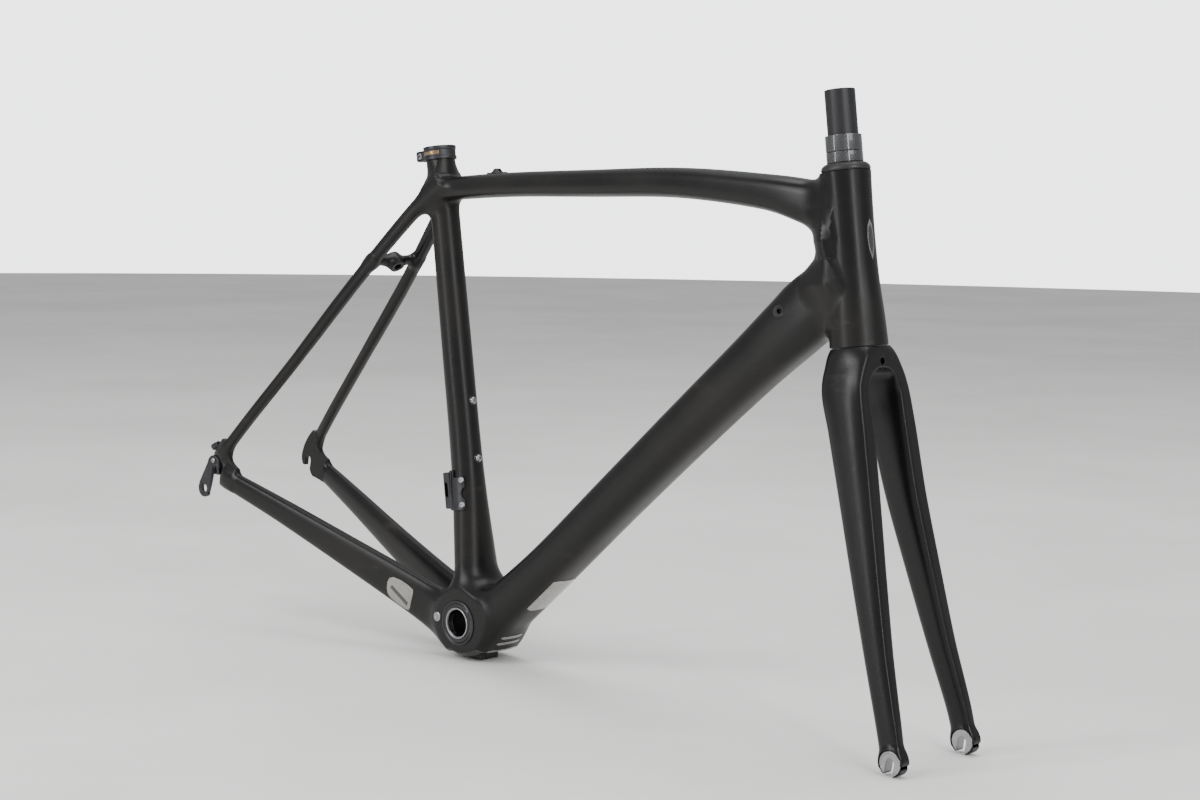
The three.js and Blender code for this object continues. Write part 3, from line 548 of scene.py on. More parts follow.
# ---------------------------------------------------------------- fork shape
# Blade stations: forward, left, up from the foot of the head tube, then wide and deep.
FORK_ROWS = ((2.7, 8, -6, 38, 51), (2.2, 28.5, -36.5, 23, 51), (7.2, 32, -77, 24.6, 47),
             (13.5, 35.5, -142, 24, 41), (22, 42, -212, 21.3, 34.6), (31, 48.5, -281, 18.5, 28.4),
             (40.5, 54.5, -340.4, 15, 25.6), (44.1, 56.3, -373.4, 12.6, 25))
FACET = 0.45    # how far ahead of its middle a blade is cut flat, as a share of its depth
fork_blades = Tube([[*on_steerer(x, y, z), wide, deep] for x, y, z, wide, deep in FORK_ROWS], 2.6,
                   mirrored=True)
facet_heights = [row[2] for row in FORK_ROWS[::-1]]
facet_places = [row[0] + FACET * row[4] for row in FORK_ROWS[::-1]]
crown_hub = ring_about(HEAD_FOOT, STEER_UP, [[0, -26], [25, -26], [27.4, -10], [27.3, 8], [0, 8]])
fork_tips = flat_plate(arc(FRONT_AXLE[[0, 2]], 13, 0, 350, 36), 50, 62.6, corner=1.5)
crown_hole = round_bore(on_steerer(0, 0, -15.2), STEER_FORWARD, 3.2)
disc_seat = round_bore(FRONT_AXLE, LEFT, 11.7)


def axle_slot(points):
    """The slot for the front axle, open downwards."""
    offset = np.stack([points[:, 0] - FRONT_AXLE[0], points[:, 2] - FRONT_AXLE[2]], 1)
    offset[:, 1] = np.maximum(offset[:, 1], 0)
    return np.hypot(offset[:, 0], offset[:, 1]) - 4.5


def crown_arch(points):
    """The room for the tyre under the fork crown."""
    offset = points - HEAD_FOOT
    across = points[:, 1] / 18
    up = np.maximum(dot(offset, STEER_UP) + 34, 0) / 12.3
    return (np.hypot(across, up) - 1) * 12


def fork_field(points):
    """The fork crown and both blades, with their flat fronts, brake hole and axle slots."""
    whole = blend(fork_blades(softened(points)), crown_hub(points), 10)
    whole = carve(whole, crown_arch(points), 5)
    offset = points - HEAD_FOOT
    front = np.interp(dot(offset, STEER_UP), facet_heights, facet_places)
    whole = carve(whole, front - dot(offset, STEER_FORWARD), 1.5)
    sideways = np.hypot(dot(offset, STEER_FORWARD), points[:, 1])
    shoulder = sideways - 26.6 + 1.15 * dot(offset, STEER_UP)
    whole = carve(whole, -0.66 * shoulder, 6)
    whole = carve(blend(whole, fork_tips(points), 6), crown_hole(points), 1.2)
    whole = np.maximum(whole, -disc_seat(points))
    return np.maximum(whole, -axle_slot(points))


# ---------------------------------------------------------------- materials
class Look:
    """A node material. Each step adds nodes in front of its Principled shader."""

    def __init__(self, name, color, roughness, metallic=0.0, coat=0.0, coat_roughness=0.1,
                 specular=0.5):
        self.material = bpy.data.materials.new(name)
        self.material.use_nodes = True
        self.tree = self.material.node_tree
        self.shader = self.tree.nodes["Principled BSDF"]
        self.color = (*color, 1)
        for socket, value in (("Base Color", self.color), ("Roughness", roughness),
                              ("Metallic", metallic), ("Coat Weight", coat),
                              ("Coat Roughness", coat_roughness), ("Specular IOR Level", specular)):
            self.shader.inputs[socket].default_value = value
        self.place = self.node("ShaderNodeTexCoord")

    def node(self, kind, **settings):
        made = self.tree.nodes.new(kind)
        for key, value in settings.items():
            if hasattr(made, key):
                setattr(made, key, value)
            else:
                made.inputs[key.replace("_", " ")].default_value = value
        return made

    def link(self, source, target):
        self.tree.links.new(source, target)
        return self

    def noise(self, scale, detail=4.0, rough=0.5, stretch=None, where="Object", turn=(0, 0, 0)):
        made = self.node("ShaderNodeTexNoise", Scale=scale, Detail=detail, Roughness=rough)
        spot = self.place.outputs[where]
        if stretch:
            mapped = self.node("ShaderNodeMapping")
            mapped.inputs["Scale"].default_value = stretch
            mapped.inputs["Rotation"].default_value = turn
            self.link(spot, mapped.inputs["Vector"])
            spot = mapped.outputs["Vector"]
        self.link(spot, made.inputs["Vector"])
        return made.outputs["Fac"]

    def math(self, operation, a, b=None):
        made = self.node("ShaderNodeMath", operation=operation)
        for socket, value in zip(made.inputs, (a, b)):
            if isinstance(value, (int, float)):
                socket.default_value = value
            elif value is not None:
                self.link(value, socket)
        return made.outputs["Value"]

    def remap(self, value, low, high, start=0.0, stop=1.0):
        made = self.node("ShaderNodeMapRange", interpolation_type="SMOOTHSTEP")
        for socket, limit in (("From Min", low), ("From Max", high), ("To Min", start),
                              ("To Max", stop)):
            made.inputs[socket].default_value = limit
        self.link(value, made.inputs["Value"])
        return made.outputs["Result"]

    def tint(self, color, share):
        """Mixes another colour in where share is high."""
        mix = self.node("ShaderNodeMix", data_type="RGBA")
        colours = [s for s in mix.inputs if s.type == "RGBA"]
        old = self.shader.inputs["Base Color"]
        if old.is_linked:
            self.link(old.links[0].from_socket, colours[0])
        else:
            colours[0].default_value = self.color
        colours[1].default_value = (*color, 1)
        self.link(share, mix.inputs["Factor"])
        self.link([s for s in mix.outputs if s.type == "RGBA"][0], old)
        return self

    def rough(self, value):
        self.link(value, self.shader.inputs["Roughness"])
        return self

    def bump(self, height, strength, distance):
        made = self.node("ShaderNodeBump", Strength=strength, Distance=distance)
        old = self.shader.inputs["Normal"]
        if old.is_linked:
            self.link(old.links[0].from_socket, made.inputs["Normal"])
        self.link(height, made.inputs["Height"])
        self.link(made.outputs["Normal"], old)
        return self


def carbon_look(name, color, brown, rough_low, rough_high, coat):
    """Satin clear coat over dark carbon: soft cloudy roughness, handling marks and tiny scratches."""
    look = Look(name, color, 0.4, coat=coat, coat_roughness=0.3, specular=0.24)
    clouds = look.noise(9, 5, 0.55)
    scuffs = look.noise(34, 6, 0.65, stretch=(0.35, 1, 1.6), turn=(0, 0.7, 0))
    look.tint(brown, look.remap(clouds, 0.42, 0.78, 0.0, 0.8))
    marks = look.math("MULTIPLY", look.remap(scuffs, 0.6, 0.74), look.remap(clouds, 0.45, 0.62))
    look.tint((0.04, 0.034, 0.029), look.math("MULTIPLY", marks, 0.4))
    mixed = look.math("ADD", look.math("MULTIPLY", clouds, 0.7), look.math("MULTIPLY", scuffs, 0.3))
    look.rough(look.remap(mixed, 0.32, 0.68, rough_low, rough_high))
    grain = look.noise(900, 3, 0.6)
    fibre = look.noise(260, 3, 0.5, stretch=(0.05, 1, 2.2), turn=(0, 0.78, 0))
    look.bump(grain, 0.06, 0.0004).bump(fibre, 0.05, 0.0004)
    look.bump(look.noise(45, 2, 0.5), 0.05, 0.002)
    return look.material


TOW_WIDTH = 0.95


def weave_look(name):
    """Glossy 2x2 twill, on a piece whose UV is in millimetres."""
    look = Look(name, (0.012, 0.012, 0.014), 0.28, coat=0.8, coat_roughness=0.06)
    split = look.node("ShaderNodeSeparateXYZ")
    look.link(look.place.outputs["UV"], split.inputs["Vector"])
    across = look.math("DIVIDE", split.outputs["X"], TOW_WIDTH)
    up = look.math("DIVIDE", split.outputs["Y"], TOW_WIDTH)
    diagonal = look.math("SUBTRACT", look.math("FLOOR", across), look.math("FLOOR", up))
    step = look.math("FLOORED_MODULO", diagonal, 4.0)
    warp = look.math("LESS_THAN", step, 1.5)
    fine = look.noise(2.5, 2, 0.6, where="UV", stretch=(1, 9, 1))
    shade = look.math("MULTIPLY", warp, look.remap(fine, 0.3, 0.7, 0.5, 1.0))
    look.tint((0.04, 0.041, 0.045), shade)
    crown_u = look.math("SINE", look.math("MULTIPLY", look.math("FRACT", across), math.pi))
    crown_v = look.math("SINE", look.math("MULTIPLY", look.math("FRACT", up), math.pi))
    look.rough(look.remap(shade, 0.0, 1.0, 0.42, 0.24))
    look.bump(look.math("MULTIPLY", crown_u, crown_v), 0.25, 0.0003)
    return look.material


def metal_look(name, color, roughness, grain_scale, grain, ring=False, wear=0.0):
    """Metal with blasted grain, or with fine turning rings when the piece has lathe UVs."""
    look = Look(name, color, roughness, metallic=1.0)
    patches = look.noise(60, 4, 0.6)
    look.rough(look.remap(patches, 0.3, 0.7, roughness * 0.8, roughness * 1.25))
    look.tint(tuple(min(1, c * 1.5 + 0.02) for c in color), look.remap(patches, 0.45, 0.75, 0.0, 0.4))
    if wear:
        scratch = look.noise(700, 5, 0.7, stretch=(0.2, 1, 1), turn=(0.4, 0.9, 0.2))
        look.tint((0.42, 0.41, 0.4), look.remap(scratch, 0.66, 0.8, 0.0, wear))
    if ring:
        look.bump(look.noise(6, 3, 0.6, where="UV", stretch=(0.02, 3, 1)), 0.22, 0.0002)
    look.bump(look.noise(grain_scale, 2, 0.5), grain, 0.0003)
    return look.material


def plastic_look(name, color, roughness, grain):
    """Moulded plastic or rubber: cloudy roughness and a fine grain."""
    look = Look(name, color, roughness, specular=0.4)
    clouds = look.noise(120, 4, 0.6)
    look.tint(tuple(c * 2.2 + 0.004 for c in color), look.remap(clouds, 0.4, 0.75, 0.0, 0.7))
    look.rough(look.remap(clouds, 0.3, 0.7, roughness - 0.07, roughness + 0.1))
    look.bump(look.noise(2200, 2, 0.5), grain, 0.0003)
    return look.material


def film_look(name, color, roughness):
    """Silver foil under clear film: fine brushing, small creases and dulled patches."""
    look = Look(name, color, roughness, metallic=0.85, coat=0.6, coat_roughness=0.12)
    brushed = look.noise(420, 3, 0.6, stretch=(0.06, 1, 2), turn=(0, 0.2, 0))
    dulled = look.noise(70, 4, 0.6)
    look.tint(tuple(c * 0.55 for c in color), look.remap(dulled, 0.45, 0.8, 0.0, 0.6))
    look.rough(look.remap(brushed, 0.3, 0.7, roughness * 0.8, roughness * 1.4))
    look.bump(brushed, 0.12, 0.0003).bump(dulled, 0.15, 0.001)
    return look.material


SATIN = carbon_look("satin_carbon", (0.0045, 0.0043, 0.0042), (0.011, 0.0092, 0.0076),
                    0.28, 0.42, 0.05)
FORK = carbon_look("fork_carbon", (0.0038, 0.0038, 0.0041), (0.006, 0.0058, 0.0056),
                   0.24, 0.35, 0.08)
STEERER = carbon_look("steerer_carbon", (0.014, 0.014, 0.016), (0.024, 0.023, 0.022),
                      0.36, 0.5, 0.05)
TWILL = weave_look("woven_carbon")
BLACK_ALLOY = metal_look("black_alloy", (0.05, 0.05, 0.054), 0.42, 2600, 0.12, wear=0.35)
SILVER = metal_look("silver_alloy", (0.31, 0.31, 0.32), 0.36, 1800, 0.05, ring=True)
STEEL = metal_look("bearing_steel", (0.5, 0.5, 0.52), 0.22, 1800, 0.03, ring=True)
BOLT = metal_look("bolt_steel", (0.3, 0.3, 0.31), 0.33, 1800, 0.06, ring=True)
PLASTIC = plastic_look("black_plastic", (0.009, 0.009, 0.0095), 0.42, 0.12)
SEAL = plastic_look("seal_rubber", (0.012, 0.012, 0.012), 0.6, 0.08)
FILM = film_look("guard_film", (0.3, 0.288, 0.27), 0.27)
DARK_FILM = film_look("dark_film", (0.07, 0.068, 0.066), 0.34)
BRONZE = film_look("bronze_film", (0.33, 0.2, 0.1), 0.3)


# ---------------------------------------------------------------- turned pieces
def frame_on(axis):
    """Two directions square to an axis."""
    axis = unit(np.asarray(axis, float))
    side = np.cross(axis, [0, 1, 0] if abs(axis[1]) < 0.9 else [1, 0, 0])
    side = unit(side)
    return side, np.cross(axis, side), axis


def eased(profile, radius, closed):
    """The profile with each corner rounded over a radius."""
    points = [np.array(p, float) for p in profile]
    result = []
    last = len(points)
    for i, point in enumerate(points):
        if (not closed and i in (0, last - 1)) or radius == 0:
            result.append(point)
            continue
        before, after = points[i - 1] - point, points[(i + 1) % last] - point
        a, b = np.linalg.norm(before[:2]), np.linalg.norm(after[:2])
        r = min(radius, a * 0.4, b * 0.4)
        start, stop = point + before / a * r, point + after / b * r
        start[2:], stop[2:] = point[2:], point[2:]
        for t in (0.0, 0.33, 0.67, 1.0):
            result.append((1 - t) ** 2 * start + 2 * t * (1 - t) * point + t * t * stop)
    return result


def lathe(name, profile, origin, axis, material, closed=True, round_by=0.25, segments=72):
    """Turns a profile of [radius, height] about an axis. A third value of 1 is for a hexagon."""
    rows = eased([[*p, 0] if len(p) == 2 else p for p in profile], round_by, closed)
    side, other, axis = frame_on(axis)
    mesh = bmesh.new()
    uv = mesh.loops.layers.uv.new("UVMap")
    rings, lengths, travelled = [], [], 0.0
    for i, (radius, height, hexagon) in enumerate(rows):
        if i:
            travelled += math.hypot(radius - rows[i - 1][0], height - rows[i - 1][1])
        lengths.append(travelled)
        ring = []
        for j in range(1 if radius < 1e-6 else segments):
            angle = 2 * math.pi * j / segments
            wave = angle % (math.pi / 3) - math.pi / 6
            r = radius * (math.cos(math.pi / 6) / math.cos(wave) if hexagon else 1)
            spot = origin + side * r * math.cos(angle) + other * r * math.sin(angle) + axis * height
            ring.append(mesh.verts.new(to_row(spot)))
        rings.append(ring)
    pairs = list(zip(range(len(rows)), range(1, len(rows))))
    if closed:
        pairs.append((len(rows) - 1, 0))
        lengths.append(travelled + math.hypot(rows[0][0] - rows[-1][0], rows[0][1] - rows[-1][1]))
    width = 2 * math.pi * max(r[0] for r in rows) / segments
    for i, k in pairs:
        v0, v1 = lengths[i], lengths[k] if k else lengths[-1]
        for j in range(segments):
            n = (j + 1) % segments
            a, b = rings[i], rings[k]
            if len(a) == 1:
                corners = ((a[0], j, v0), (b[n], j + 1, v1), (b[j], j, v1))
            elif len(b) == 1:
                corners = ((a[j], j, v0), (a[n], j + 1, v0), (b[0], j, v1))
            else:
                corners = ((a[j], j, v0), (a[n], j + 1, v0), (b[n], j + 1, v1), (b[j], j, v1))
            face = mesh.faces.new([c[0] for c in corners])
            face.smooth = True
            for loop, corner in zip(face.loops, corners):
                loop[uv].uv = (corner[1] * width, corner[2])
    bmesh.ops.recalc_face_normals(mesh, faces=mesh.faces[:])
    return from_bmesh(name, mesh, material)


def from_bmesh(name, mesh, material, sharp=32):
    data = bpy.data.meshes.new(name)
    mesh.to_mesh(data)
    mesh.free()
    data.shade_smooth()
    data.set_sharp_from_angle(angle=math.radians(sharp))
    return as_piece(name, data, material)


def place_piece(piece, body, slot, *nodes):
    """Gives a piece its body and hides the CAD nodes that it stands in for. The slot argument is not used.
    """
    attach(piece, body)
    if nodes:
        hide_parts(*nodes)
    return piece


# ---------------------------------------------------------------- carbon pieces
BEHIND_SEAT = SEAT_FORWARD * -30
REAR_CUT = unit(np.array([-0.86, 0.0, -0.5]))
REAR_CUT_AT = REAR_CUT * 271
HEAD_ENDS = [(HEAD_FOOT, -STEER_UP, (HEAD_FOOT, 45)), (HEAD_TOP, STEER_UP, (HEAD_TOP, 45))]

front = moulded("front_triangle", frame_field, (-185, -42, -48), (485, 42, 582), 1.9,
                [*HEAD_ENDS, (on_seat(0, 0, 509), SEAT_UP, (on_seat(0, 0, 515), 40)),
                 (BEHIND_SEAT, -SEAT_FORWARD)], SATIN)
place_piece(front, "frame", "satin_carbon", "head_tube", "top_tube", "down_tube", "seat_tube",
            "bottom_bracket_shell")
rear = moulded("rear_triangle", frame_field, (-392, -80, -48), (20, 80, 482), 1.5,
               [(BEHIND_SEAT, SEAT_FORWARD), (REAR_CUT_AT, REAR_CUT)], SATIN)
place_piece(rear, "frame", "satin_carbon", "chainstay_right", "chainstay_left", "seatstay_right",
            "seatstay_left", "brake_bridge")
for side_name, side in (("right", -1), ("left", 1)):
    low, high = sorted((side * 53, side * 80))
    tip = moulded("rear_end_" + side_name, frame_field, (-424, low, 30), (-326, high, 122), 0.9,
                  [(REAR_CUT_AT, -REAR_CUT)], SATIN)
    place_piece(tip, "frame", "satin_carbon", "dropout_" + side_name)

blades = moulded("fork_blades", fork_field, (408, -72, 18), (640, 72, 440), 1.5,
                 [(on_steerer(0, 0, -1), STEER_UP)], FORK)
place_piece(blades, "fork", "fork_carbon", "fork_crown", "fork_leg_right", "fork_leg_left")

# ---------------------------------------------------------------- headset, steerer and spacers
def steering_lathe(name, profile, material, **settings):
    return lathe(name, profile, HEAD_FOOT, STEER_UP, material, **settings)


place_piece(steering_lathe("steerer", [
    [15.9, -9], [15.9, 12], [14.3, 70], [14.3, 237.5], [11.6, 237.5], [11.6, 60], [13, 20], [13, -9],
], STEERER, round_by=0.5, segments=96), "fork", "satin_carbon", "steerer_tube")
place_piece(steering_lathe("headset_cap", [
    [14.75, 164.5], [18.2, 164.5], [18.2, 162], [22.6, 162], [22.6, 162.7], [23.1, 162.9], [23.1, 163.6],
    [22.8, 165.2], [21.9, 166.8], [20.4, 168.2], [18.6, 169.2], [17.2, 169.5], [14.75, 169.5],
], PLASTIC, round_by=0.35, segments=96), "fork", "black_plastic", "headset_top_cap")
place_piece(steering_lathe("lower_seal", [
    [20, -0.85], [25.9, -0.85], [26.2, -0.5], [25.9, -0.15], [20, -0.15],
], SEAL, round_by=0.1, segments=96), "fork", "black_plastic")
for spacer, foot, tall in (("spacer_lower", 169.8, 10), ("spacer_upper", 180.1, 15)):
    place_piece(steering_lathe(spacer + "_ring", [
        [14.75, foot], [17, foot], [17, foot + tall], [14.75, foot + tall],
    ], TWILL, round_by=0.55, segments=96), spacer, "woven_carbon", spacer)

# ---------------------------------------------------------------- bottom bracket bearings
for side_name, side in (("right", RIGHT), ("left", LEFT)):
    middle = np.zeros(3)
    place_piece(lathe("cup_" + side_name, [
        [22.6, 24], [22.6, 34.05], [25, 34.05], [25, 34.9], [24.0, 35.8], [22.6, 35.8], [21.5, 35.0],
        [21.3, 28.5], [19.6, 28.5], [19.6, 24],
    ], middle, side, BLACK_ALLOY, segments=96), "frame", "black_alloy", "bb_cup_" + side_name)
    place_piece(lathe("bearing_rim_" + side_name, [
        [19.4, 28.6], [21.1, 28.6], [21.1, 34.7], [19.4, 34.7],
    ], middle, side, STEEL, segments=96), "frame", "bearing_steel", f"bb_{side_name}_outer_race")
    place_piece(lathe("bearing_seal_" + side_name, [
        [17.4, 34.85], [21.2, 34.85], [21.2, 35.2], [19.6, 35.5], [18.2, 35.2], [17.4, 35.3],
    ], middle, side, SEAL, segments=96), "frame", "black_plastic")
    inner = "bb_" + side_name + "_inner"
    place_piece(lathe("bearing_core_" + side_name, [
        [15, 28], [16.7, 28], [16.7, 35.1], [15, 35.1],
    ], middle, side, STEEL, segments=96), inner, "bearing_steel", inner + "_race")
    place_piece(lathe("bright_ring_" + side_name, [
        [15.4, 35.25], [17.2, 35.25], [17.2, 36.0], [16.8, 36.5], [15.9, 36.5], [15.4, 36.1],
    ], middle, side, SILVER, segments=96), inner, "silver_alloy", "bb_dust_ring_" + side_name)
place_piece(lathe("bearing_sleeve", [[19.2, -23.6], [20.4, -23.6], [20.4, 23.6], [19.2, 23.6]],
                  np.zeros(3), LEFT, PLASTIC), "frame", "black_plastic", "bb_sleeve")

# ---------------------------------------------------------------- bolts, ports and plug
def screw(name, at, outward, sizes, slot, material, node, dome=0.6):
    """A button-head screw with a hexagon socket. at is on the surface that its head sits on.

    sizes are the shank's radius and length, the head's radius and height, and the socket's radius.
    """
    shank, length, head, tall, socket = sizes
    profile = [[0, tall - socket * 0.9], [socket, tall - socket * 0.9, 1], [socket, tall - 0.05, 1],
               [socket + 0.35, tall], [head * dome, tall], [head * 0.92, tall * 0.55], [head, tall * 0.2],
               [head, 0], [shank, 0], [shank, -length], [0, -length]]
    piece = lathe(name, profile, np.asarray(at, float), outward, material, closed=False, round_by=0.3)
    place_piece(piece, "frame", slot, node)


def tube_spot(tube, share, face):
    """Where a line square to a tube leaves it, and the way out, for a share of its stations."""
    value, slope = tube.at(np.array([share * tube.last]))
    along = unit(slope[0, :3])
    outward = np.cross(along, LEFT) * face
    return value[0, :3] + outward * value[0, 4] / 2, outward, along


BOTTLE = (("down_tube_lower", down_tube, 0.388, 1), ("down_tube_upper", down_tube, 0.474, 1),
          ("seat_tube_upper", seat_tube, 0.415, -1), ("seat_tube_lower", seat_tube, 0.512, -1))
for place_name, tube, share, face in BOTTLE:
    at, outward, _ = tube_spot(tube, share, face)
    place_piece(lathe("washer_" + place_name, [
        [2.5, -0.4], [5.4, -0.4], [5.2, 0.4], [4.2, 0.75], [2.5, 0.75],
    ], at, outward, BLACK_ALLOY), "frame", "black_alloy")
    screw("cage_bolt_" + place_name, at + outward * 0.8, outward, (2.3, 10, 4, 2.4, 1.5),
          "bolt_steel", BOLT, "bottle_bolt_" + place_name)

for side_name, side in (("right", -1), ("left", 1)):
    outward = unit(np.array([0.5, side * 0.8, 0.33]))
    at = np.array([366, side * 23.4, 428])
    place_piece(lathe("port_grommet_" + side_name, [
        [2.4, -6], [4.2, -6], [4.2, 0.4], [6.4, 0.6], [6.2, 1.7], [5.0, 2.7], [3.2, 2.9], [2.4, 2.3],
    ], at, outward, PLASTIC), "frame", "black_plastic", "cable_port_" + side_name)
place_piece(lathe("side_plug", [
    [0, 1.0], [1.4, 1.0], [1.7, 1.6], [4.4, 1.7], [5.3, 1.1], [5.4, 0], [2.2, 0], [2.2, -6], [0, -6],
], np.array([-33.0, -SHELL_HALF, -3.0]), RIGHT, SILVER, closed=False), "frame", "silver_alloy", "port_plug")

# ---------------------------------------------------------------- small moulded fittings
EAR = np.array([-25.0, 514.0])


def collar_field(points):
    """The seat collar: a grooved ring, split between two ears that the bolt pulls together."""
    ring = ring_about([0, 0, 0], SEAT_UP, [
        [16.0, 507], [18, 507], [18, 510.2], [17.3, 510.8], [17.3, 517.4], [18, 518], [18, 521.5],
        [14.2, 521.5], [14.2, 520.3], [16.0, 520.3]])(points)
    ears = block(on_seat(-23.5, 0, EAR[1]), (SEAT_FORWARD, LEFT, SEAT_UP), (7.5, 8.5, 5.75), 2.2)(points)
    whole = blend(ring, ears, 2.5)
    whole = np.maximum(whole, -round_bore([0, 0, 0], SEAT_UP, 16.0, 400, 520.3)(points))
    whole = np.maximum(whole, -round_bore([0, 0, 0], SEAT_UP, 14.2, 400, 600)(points))
    split = block(on_seat(-24, 0, EAR[1]), (SEAT_FORWARD, LEFT, SEAT_UP), (11, 0.9, 15), 0.1)(points)
    whole = np.maximum(whole, -split)
    bolt_way = on_seat(EAR[0], 0, EAR[1])
    whole = carve(whole, round_bore(bolt_way, RIGHT, 4.5, 6, 20)(points), 0.6)
    nut = round_bore(on_seat(EAR[0], 5.6, EAR[1]), SEAT_UP, 4.3)(points)
    return carve(whole, nut, 0.6)


def fitting(name, field, middle, halves, voxel, material, body, slot, *nodes):
    """A small moulded piece inside a box around its middle."""
    middle, halves = np.asarray(middle, float), np.asarray(halves, float)
    piece = moulded(name, field, middle - halves, middle + halves, voxel, [], material)
    return place_piece(piece, body, slot, *nodes)


fitting("collar", collar_field, on_seat(-6, 0, 514), (32, 22, 20), 0.55, BLACK_ALLOY, "frame",
        "black_alloy", "seat_collar")


def inlay_field(points):
    """A strip in the collar's groove, on the right side."""
    strip = ring_about([0, 0, 0], SEAT_UP, [
        [17.0, 512.2], [17.6, 512.2], [17.6, 516], [17.0, 516]])(points)
    window = block(on_seat(2, -17, 514), (SEAT_FORWARD, LEFT, SEAT_UP), (10, 9, 3), 0.8)(points)
    return np.maximum(strip, window)


fitting("collar_inlay", inlay_field, on_seat(2, -13, 514), (14, 8, 8), 0.4, BRONZE, "frame",
        "guard_film")
screw("collar_bolt", on_seat(EAR[0], -6.4, EAR[1]), RIGHT, (2.5, 14, 4.2, 2.4, 1.9),
      "bolt_steel", BOLT, "seat_collar_bolt", dome=0.75)
place_piece(lathe("collar_nut", [
    [0, -5.2], [4, -5.2], [4, 5.2], [0, 5.2],
], on_seat(EAR[0], 5.6, EAR[1]), SEAT_UP, BOLT, closed=False, round_by=0.5),
            "frame", "bolt_steel", "seat_collar_nut")

BRACKET_FOOT, BRACKET_TALL = 122.0, 48.0


def bracket_field(points):
    """A saddle that hugs the seat tube, with a slotted flange behind it for the derailleur."""
    tube = seat_tube(points)
    middle = BRACKET_FOOT + BRACKET_TALL / 2 - 6
    half = BRACKET_TALL / 2
    axes = (SEAT_FORWARD, LEFT, SEAT_UP)
    skin = np.maximum(tube - 2.5, -(tube - 0.1))
    saddle = np.maximum(skin, block(on_seat(2, -20, middle), axes, (9, 6, half - 6), 2.5)(points))
    back = np.maximum(skin, block(on_seat(-8, -19, middle + 4), axes, (5, 5, half - 2), 1.5)(points))
    flange = block(on_seat(-13, -18.5, middle + 4), axes, (4.5, 3.5, half - 4), 1.4)(points)
    whole = blend(np.minimum(saddle, back), np.maximum(flange, -(tube - 0.1)), 1.5)
    slot_box = block(on_seat(-13.6, -18.5, middle + 5), axes, (2.2, 15, 8), 2.1)(points)
    whole = carve(whole, slot_box, 0.6)
    return carve(whole, round_bore(on_seat(15.5, -20, middle), LEFT, 8)(points), 0.8)


fitting("derailleur_saddle", bracket_field, on_seat(-4, -19, 144), (24, 8, 32), 0.6, BLACK_ALLOY, "frame",
        "black_alloy", "front_derailleur_bracket")
for label, up, outboard in (("lower", 128, 18.3), ("upper", 155, 16.6)):
    outward = unit(RIGHT + SEAT_FORWARD * 0.32)
    screw("saddle_bolt_" + label, on_seat(8.5, -outboard, up) + outward * 3, outward,
          (1.9, 9, 3.5, 1.9, 1.2), "silver_alloy", SILVER, "front_derailleur_bolt_" + label)


def hanger_outline():
    """The derailleur hanger, from the axle slot down to the hole for the derailleur."""
    x, z = REAR_AXLE[0], REAR_AXLE[2]
    return (bow([x - 5, z - 8], [x - 7, z - 24], [x - 9.5, z - 33])
            + arc([x - 17.5, z - 28], 10.5, -25, -180, 14) + [[x - 27, z - 22], [x - 15, z + 5]]
            + arc([x - 3, z + 4.5], 12, 170, 40, 14)
            + [[x + 9, z - 3], [x + 5, z - 6]] + arc([x, z], 5, 0, 180, 12))


hanger_plate = flat_plate(hanger_outline(), 71.3, 76.3, corner=1.0)
hanger_rim = flat_plate(arc(REAR_AXLE[[0, 2]], 8.6, 165, 15, 14)
                        + arc(REAR_AXLE[[0, 2]], 5.2, 15, 165, 14), 75, 76.9, corner=0.4)
DERAILLEUR_HOLE = REAR_AXLE + [-17.5, 0, -28]


def hanger_field(points):
    hole = round_bore(DERAILLEUR_HOLE, LEFT, 5)(points)
    lip = round_bore(DERAILLEUR_HOLE, LEFT, 6.4, -77, -75.4)(points)
    whole = carve(hanger_plate(points), lip, 0.5)
    return np.minimum(carve(whole, hole, 0.6), hanger_rim(points))


fitting("hanger", hanger_field, REAR_AXLE + [-10, -74, -10], (24, 5, 34), 0.6, BLACK_ALLOY, "frame",
        "black_alloy", "derailleur_hanger")
screw("hanger_screw", REAR_AXLE + [-3.5, -76.6, 10.5], RIGHT, (1.6, 8, 3.2, 1.6, 1.2),
      "bolt_steel", BOLT, "hanger_bolt")
place_piece(lathe("rear_stop", [
    [1.6, -6], [3.6, -6], [3.7, 0], [4.3, 0.4], [4.3, 1.4], [3.8, 1.8], [3.9, 3.4], [4.3, 5], [2.6, 5],
    [2.6, -2], [1.6, -2]], np.array([REAR_AXLE[0] - 11.5, -68, REAR_AXLE[2] + 26]),
    np.array([-0.7, 0, -0.5]), BLACK_ALLOY), "frame", "black_alloy", "rear_cable_stop")

STOP_AT, STOP_OUT, STOP_ALONG = tube_spot(top_tube, 0.14, 1)


def stop_field(points):
    """A low hump on the top tube with a slanted hole for the cable."""
    axes = (STOP_ALONG, LEFT, STOP_OUT)
    hump = block(STOP_AT + STOP_OUT * 1.8, axes, (3.4, 3.4, 3.4), 1.8)(points)
    ramp = block(STOP_AT + STOP_OUT * -0.7, axes, (13, 4.2, 1.9), 1.2)(points)
    whole = blend(hump, ramp, 5)
    cable = round_bore(STOP_AT + STOP_OUT * 2.6, STOP_ALONG + STOP_OUT * 0.12, 1.5)(points)
    return np.maximum(carve(whole, cable, 0.4), -(top_tube(points) + 0.6))


fitting("top_stop", stop_field, STOP_AT, (16, 7, 9), 0.5, PLASTIC, "frame", "black_plastic",
        "top_tube_cable_stop")

STAND_DOWN = np.array([math.sin(STAND_TILT), 0, -math.cos(STAND_TILT)])
STAND_ALONG = np.cross(LEFT, STAND_DOWN)


